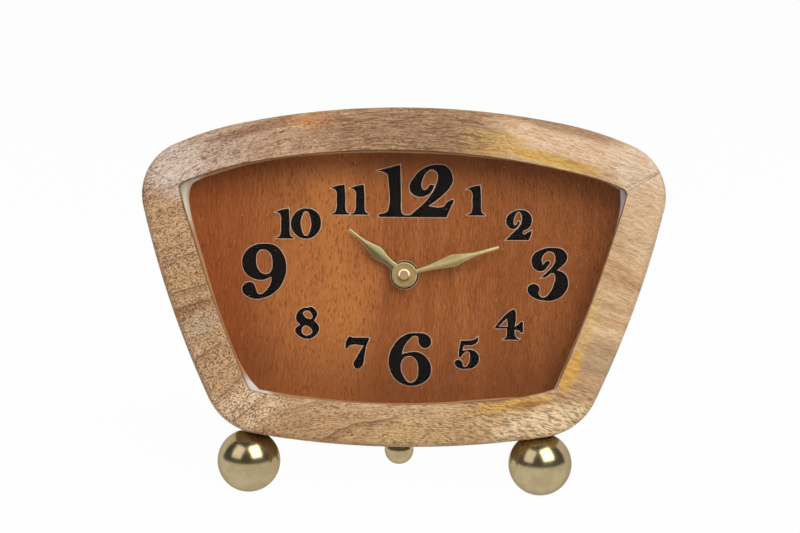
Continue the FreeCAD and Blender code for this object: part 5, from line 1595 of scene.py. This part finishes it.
@dataclass(frozen=True)
class Softbox:
    """A soft light that looks at the clock, placed by its angles from the front."""
    name: str
    azimuth: float
    elevation: float
    distance: float
    width: float
    height: float
    power: float

    def build(self, target: Vector) -> bpy.types.Object:
        """Make the lamp.

        Args:
            target: The point it looks at.

        Returns:
            The lamp.
        """
        light = bpy.data.lights.new(self.name, "AREA")
        light.shape = "RECTANGLE"
        light.size = self.width
        light.size_y = self.height
        light.energy = self.power
        return aimed(self.name, light, target, self.azimuth, self.elevation, self.distance)


class Studio:
    """A pale floor that runs out of sight, two soft lights and the camera."""

    FLOOR_SIZE = 16.0
    WORLD_LEVEL = 0.1
    FLOOR_CLEAR = 0.0001
    BACKDROP_FROM = 0.25
    LENS = 94.05
    AZIMUTH = math.radians(2.65)
    ELEVATION = math.radians(10.1)
    DISTANCE = 1.015
    AIM = (-1.6, 0.0, 87.9)
    LIGHTS = (
        Softbox("right_softbox", math.radians(38), math.radians(43), 1.6, 1.15, 1.35, 23.0),
        Softbox("left_softbox", math.radians(-46), math.radians(36), 1.6, 1.1, 1.3, 6.5))

    def build(self) -> None:
        """Make the floor, the lights, the world and the camera."""
        target = CASE.to_row(*self.AIM)
        self.floor()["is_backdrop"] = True
        for softbox in self.LIGHTS:
            softbox.build(target)
        self.world()
        self.camera(target)
        LOG.info("studio: floor, two soft lights and the camera")

    def floor(self) -> bpy.types.Object:
        """Lay the floor under the feet."""
        low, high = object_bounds()
        bpy.ops.mesh.primitive_plane_add(size=self.FLOOR_SIZE,
                                         location=(0.0, 0.0, low[2] - self.FLOOR_CLEAR))
        floor = bpy.context.object
        floor.name = "studio_floor"
        floor.data.materials.append(FloorCard().material())
        return floor

    def world(self) -> None:
        """Fill the room with a dim even grey, and hang white behind the clock.

        The camera and clear glass see white all round.  Bright metal sees it only behind
        the clock, where the backdrop hangs.
        """
        air = Recipe("studio_air", bpy.data.worlds)
        path = air.add("ShaderNodeLightPath", {}, {})
        _, back, _ = air.split(air.add("ShaderNodeTexCoord", {}, {}))
        behind = air.maths("GREATER_THAN", back, self.BACKDROP_FROM)
        seen = path.out("Is Camera Ray").highest(path.out("Is Transmission Ray"))
        seen = seen.highest(behind * path.out("Is Glossy Ray"))
        grey = air.add("ShaderNodeBackground", {}, {"Color": (self.WORLD_LEVEL,) * 3 + (1.0,)})
        white = air.add("ShaderNodeBackground", {}, {"Color": (1.0, 1.0, 1.0, 1.0)})
        mix = air.add("ShaderNodeMixShader", {}, {0: seen, 1: grey, 2: white})
        bpy.context.scene.world = air.close(mix, "ShaderNodeOutputWorld")

    def camera(self, target: Vector) -> bpy.types.Object:
        """Set up the camera.

        Args:
            target: The point it looks at.

        Returns:
            The camera.
        """
        lens = bpy.data.cameras.new("studio_camera")
        lens.lens = self.LENS
        lens.clip_start = 0.01
        lens.clip_end = 50.0
        camera = aimed("studio_camera", lens, target, self.AZIMUTH, self.ELEVATION,
                       self.DISTANCE)
        bpy.context.scene.camera = camera
        bpy.context.scene.view_settings.view_transform = "Standard"
        return camera


def main() -> None:
    """Dress the clock, add its own pieces and set up the studio."""
    for part in (WoodenCase(), DialFace(), HandsAndHub(), BallFeet(), Movement(), Studio()):
        part.build()


if __name__ == "__main__":
    main()
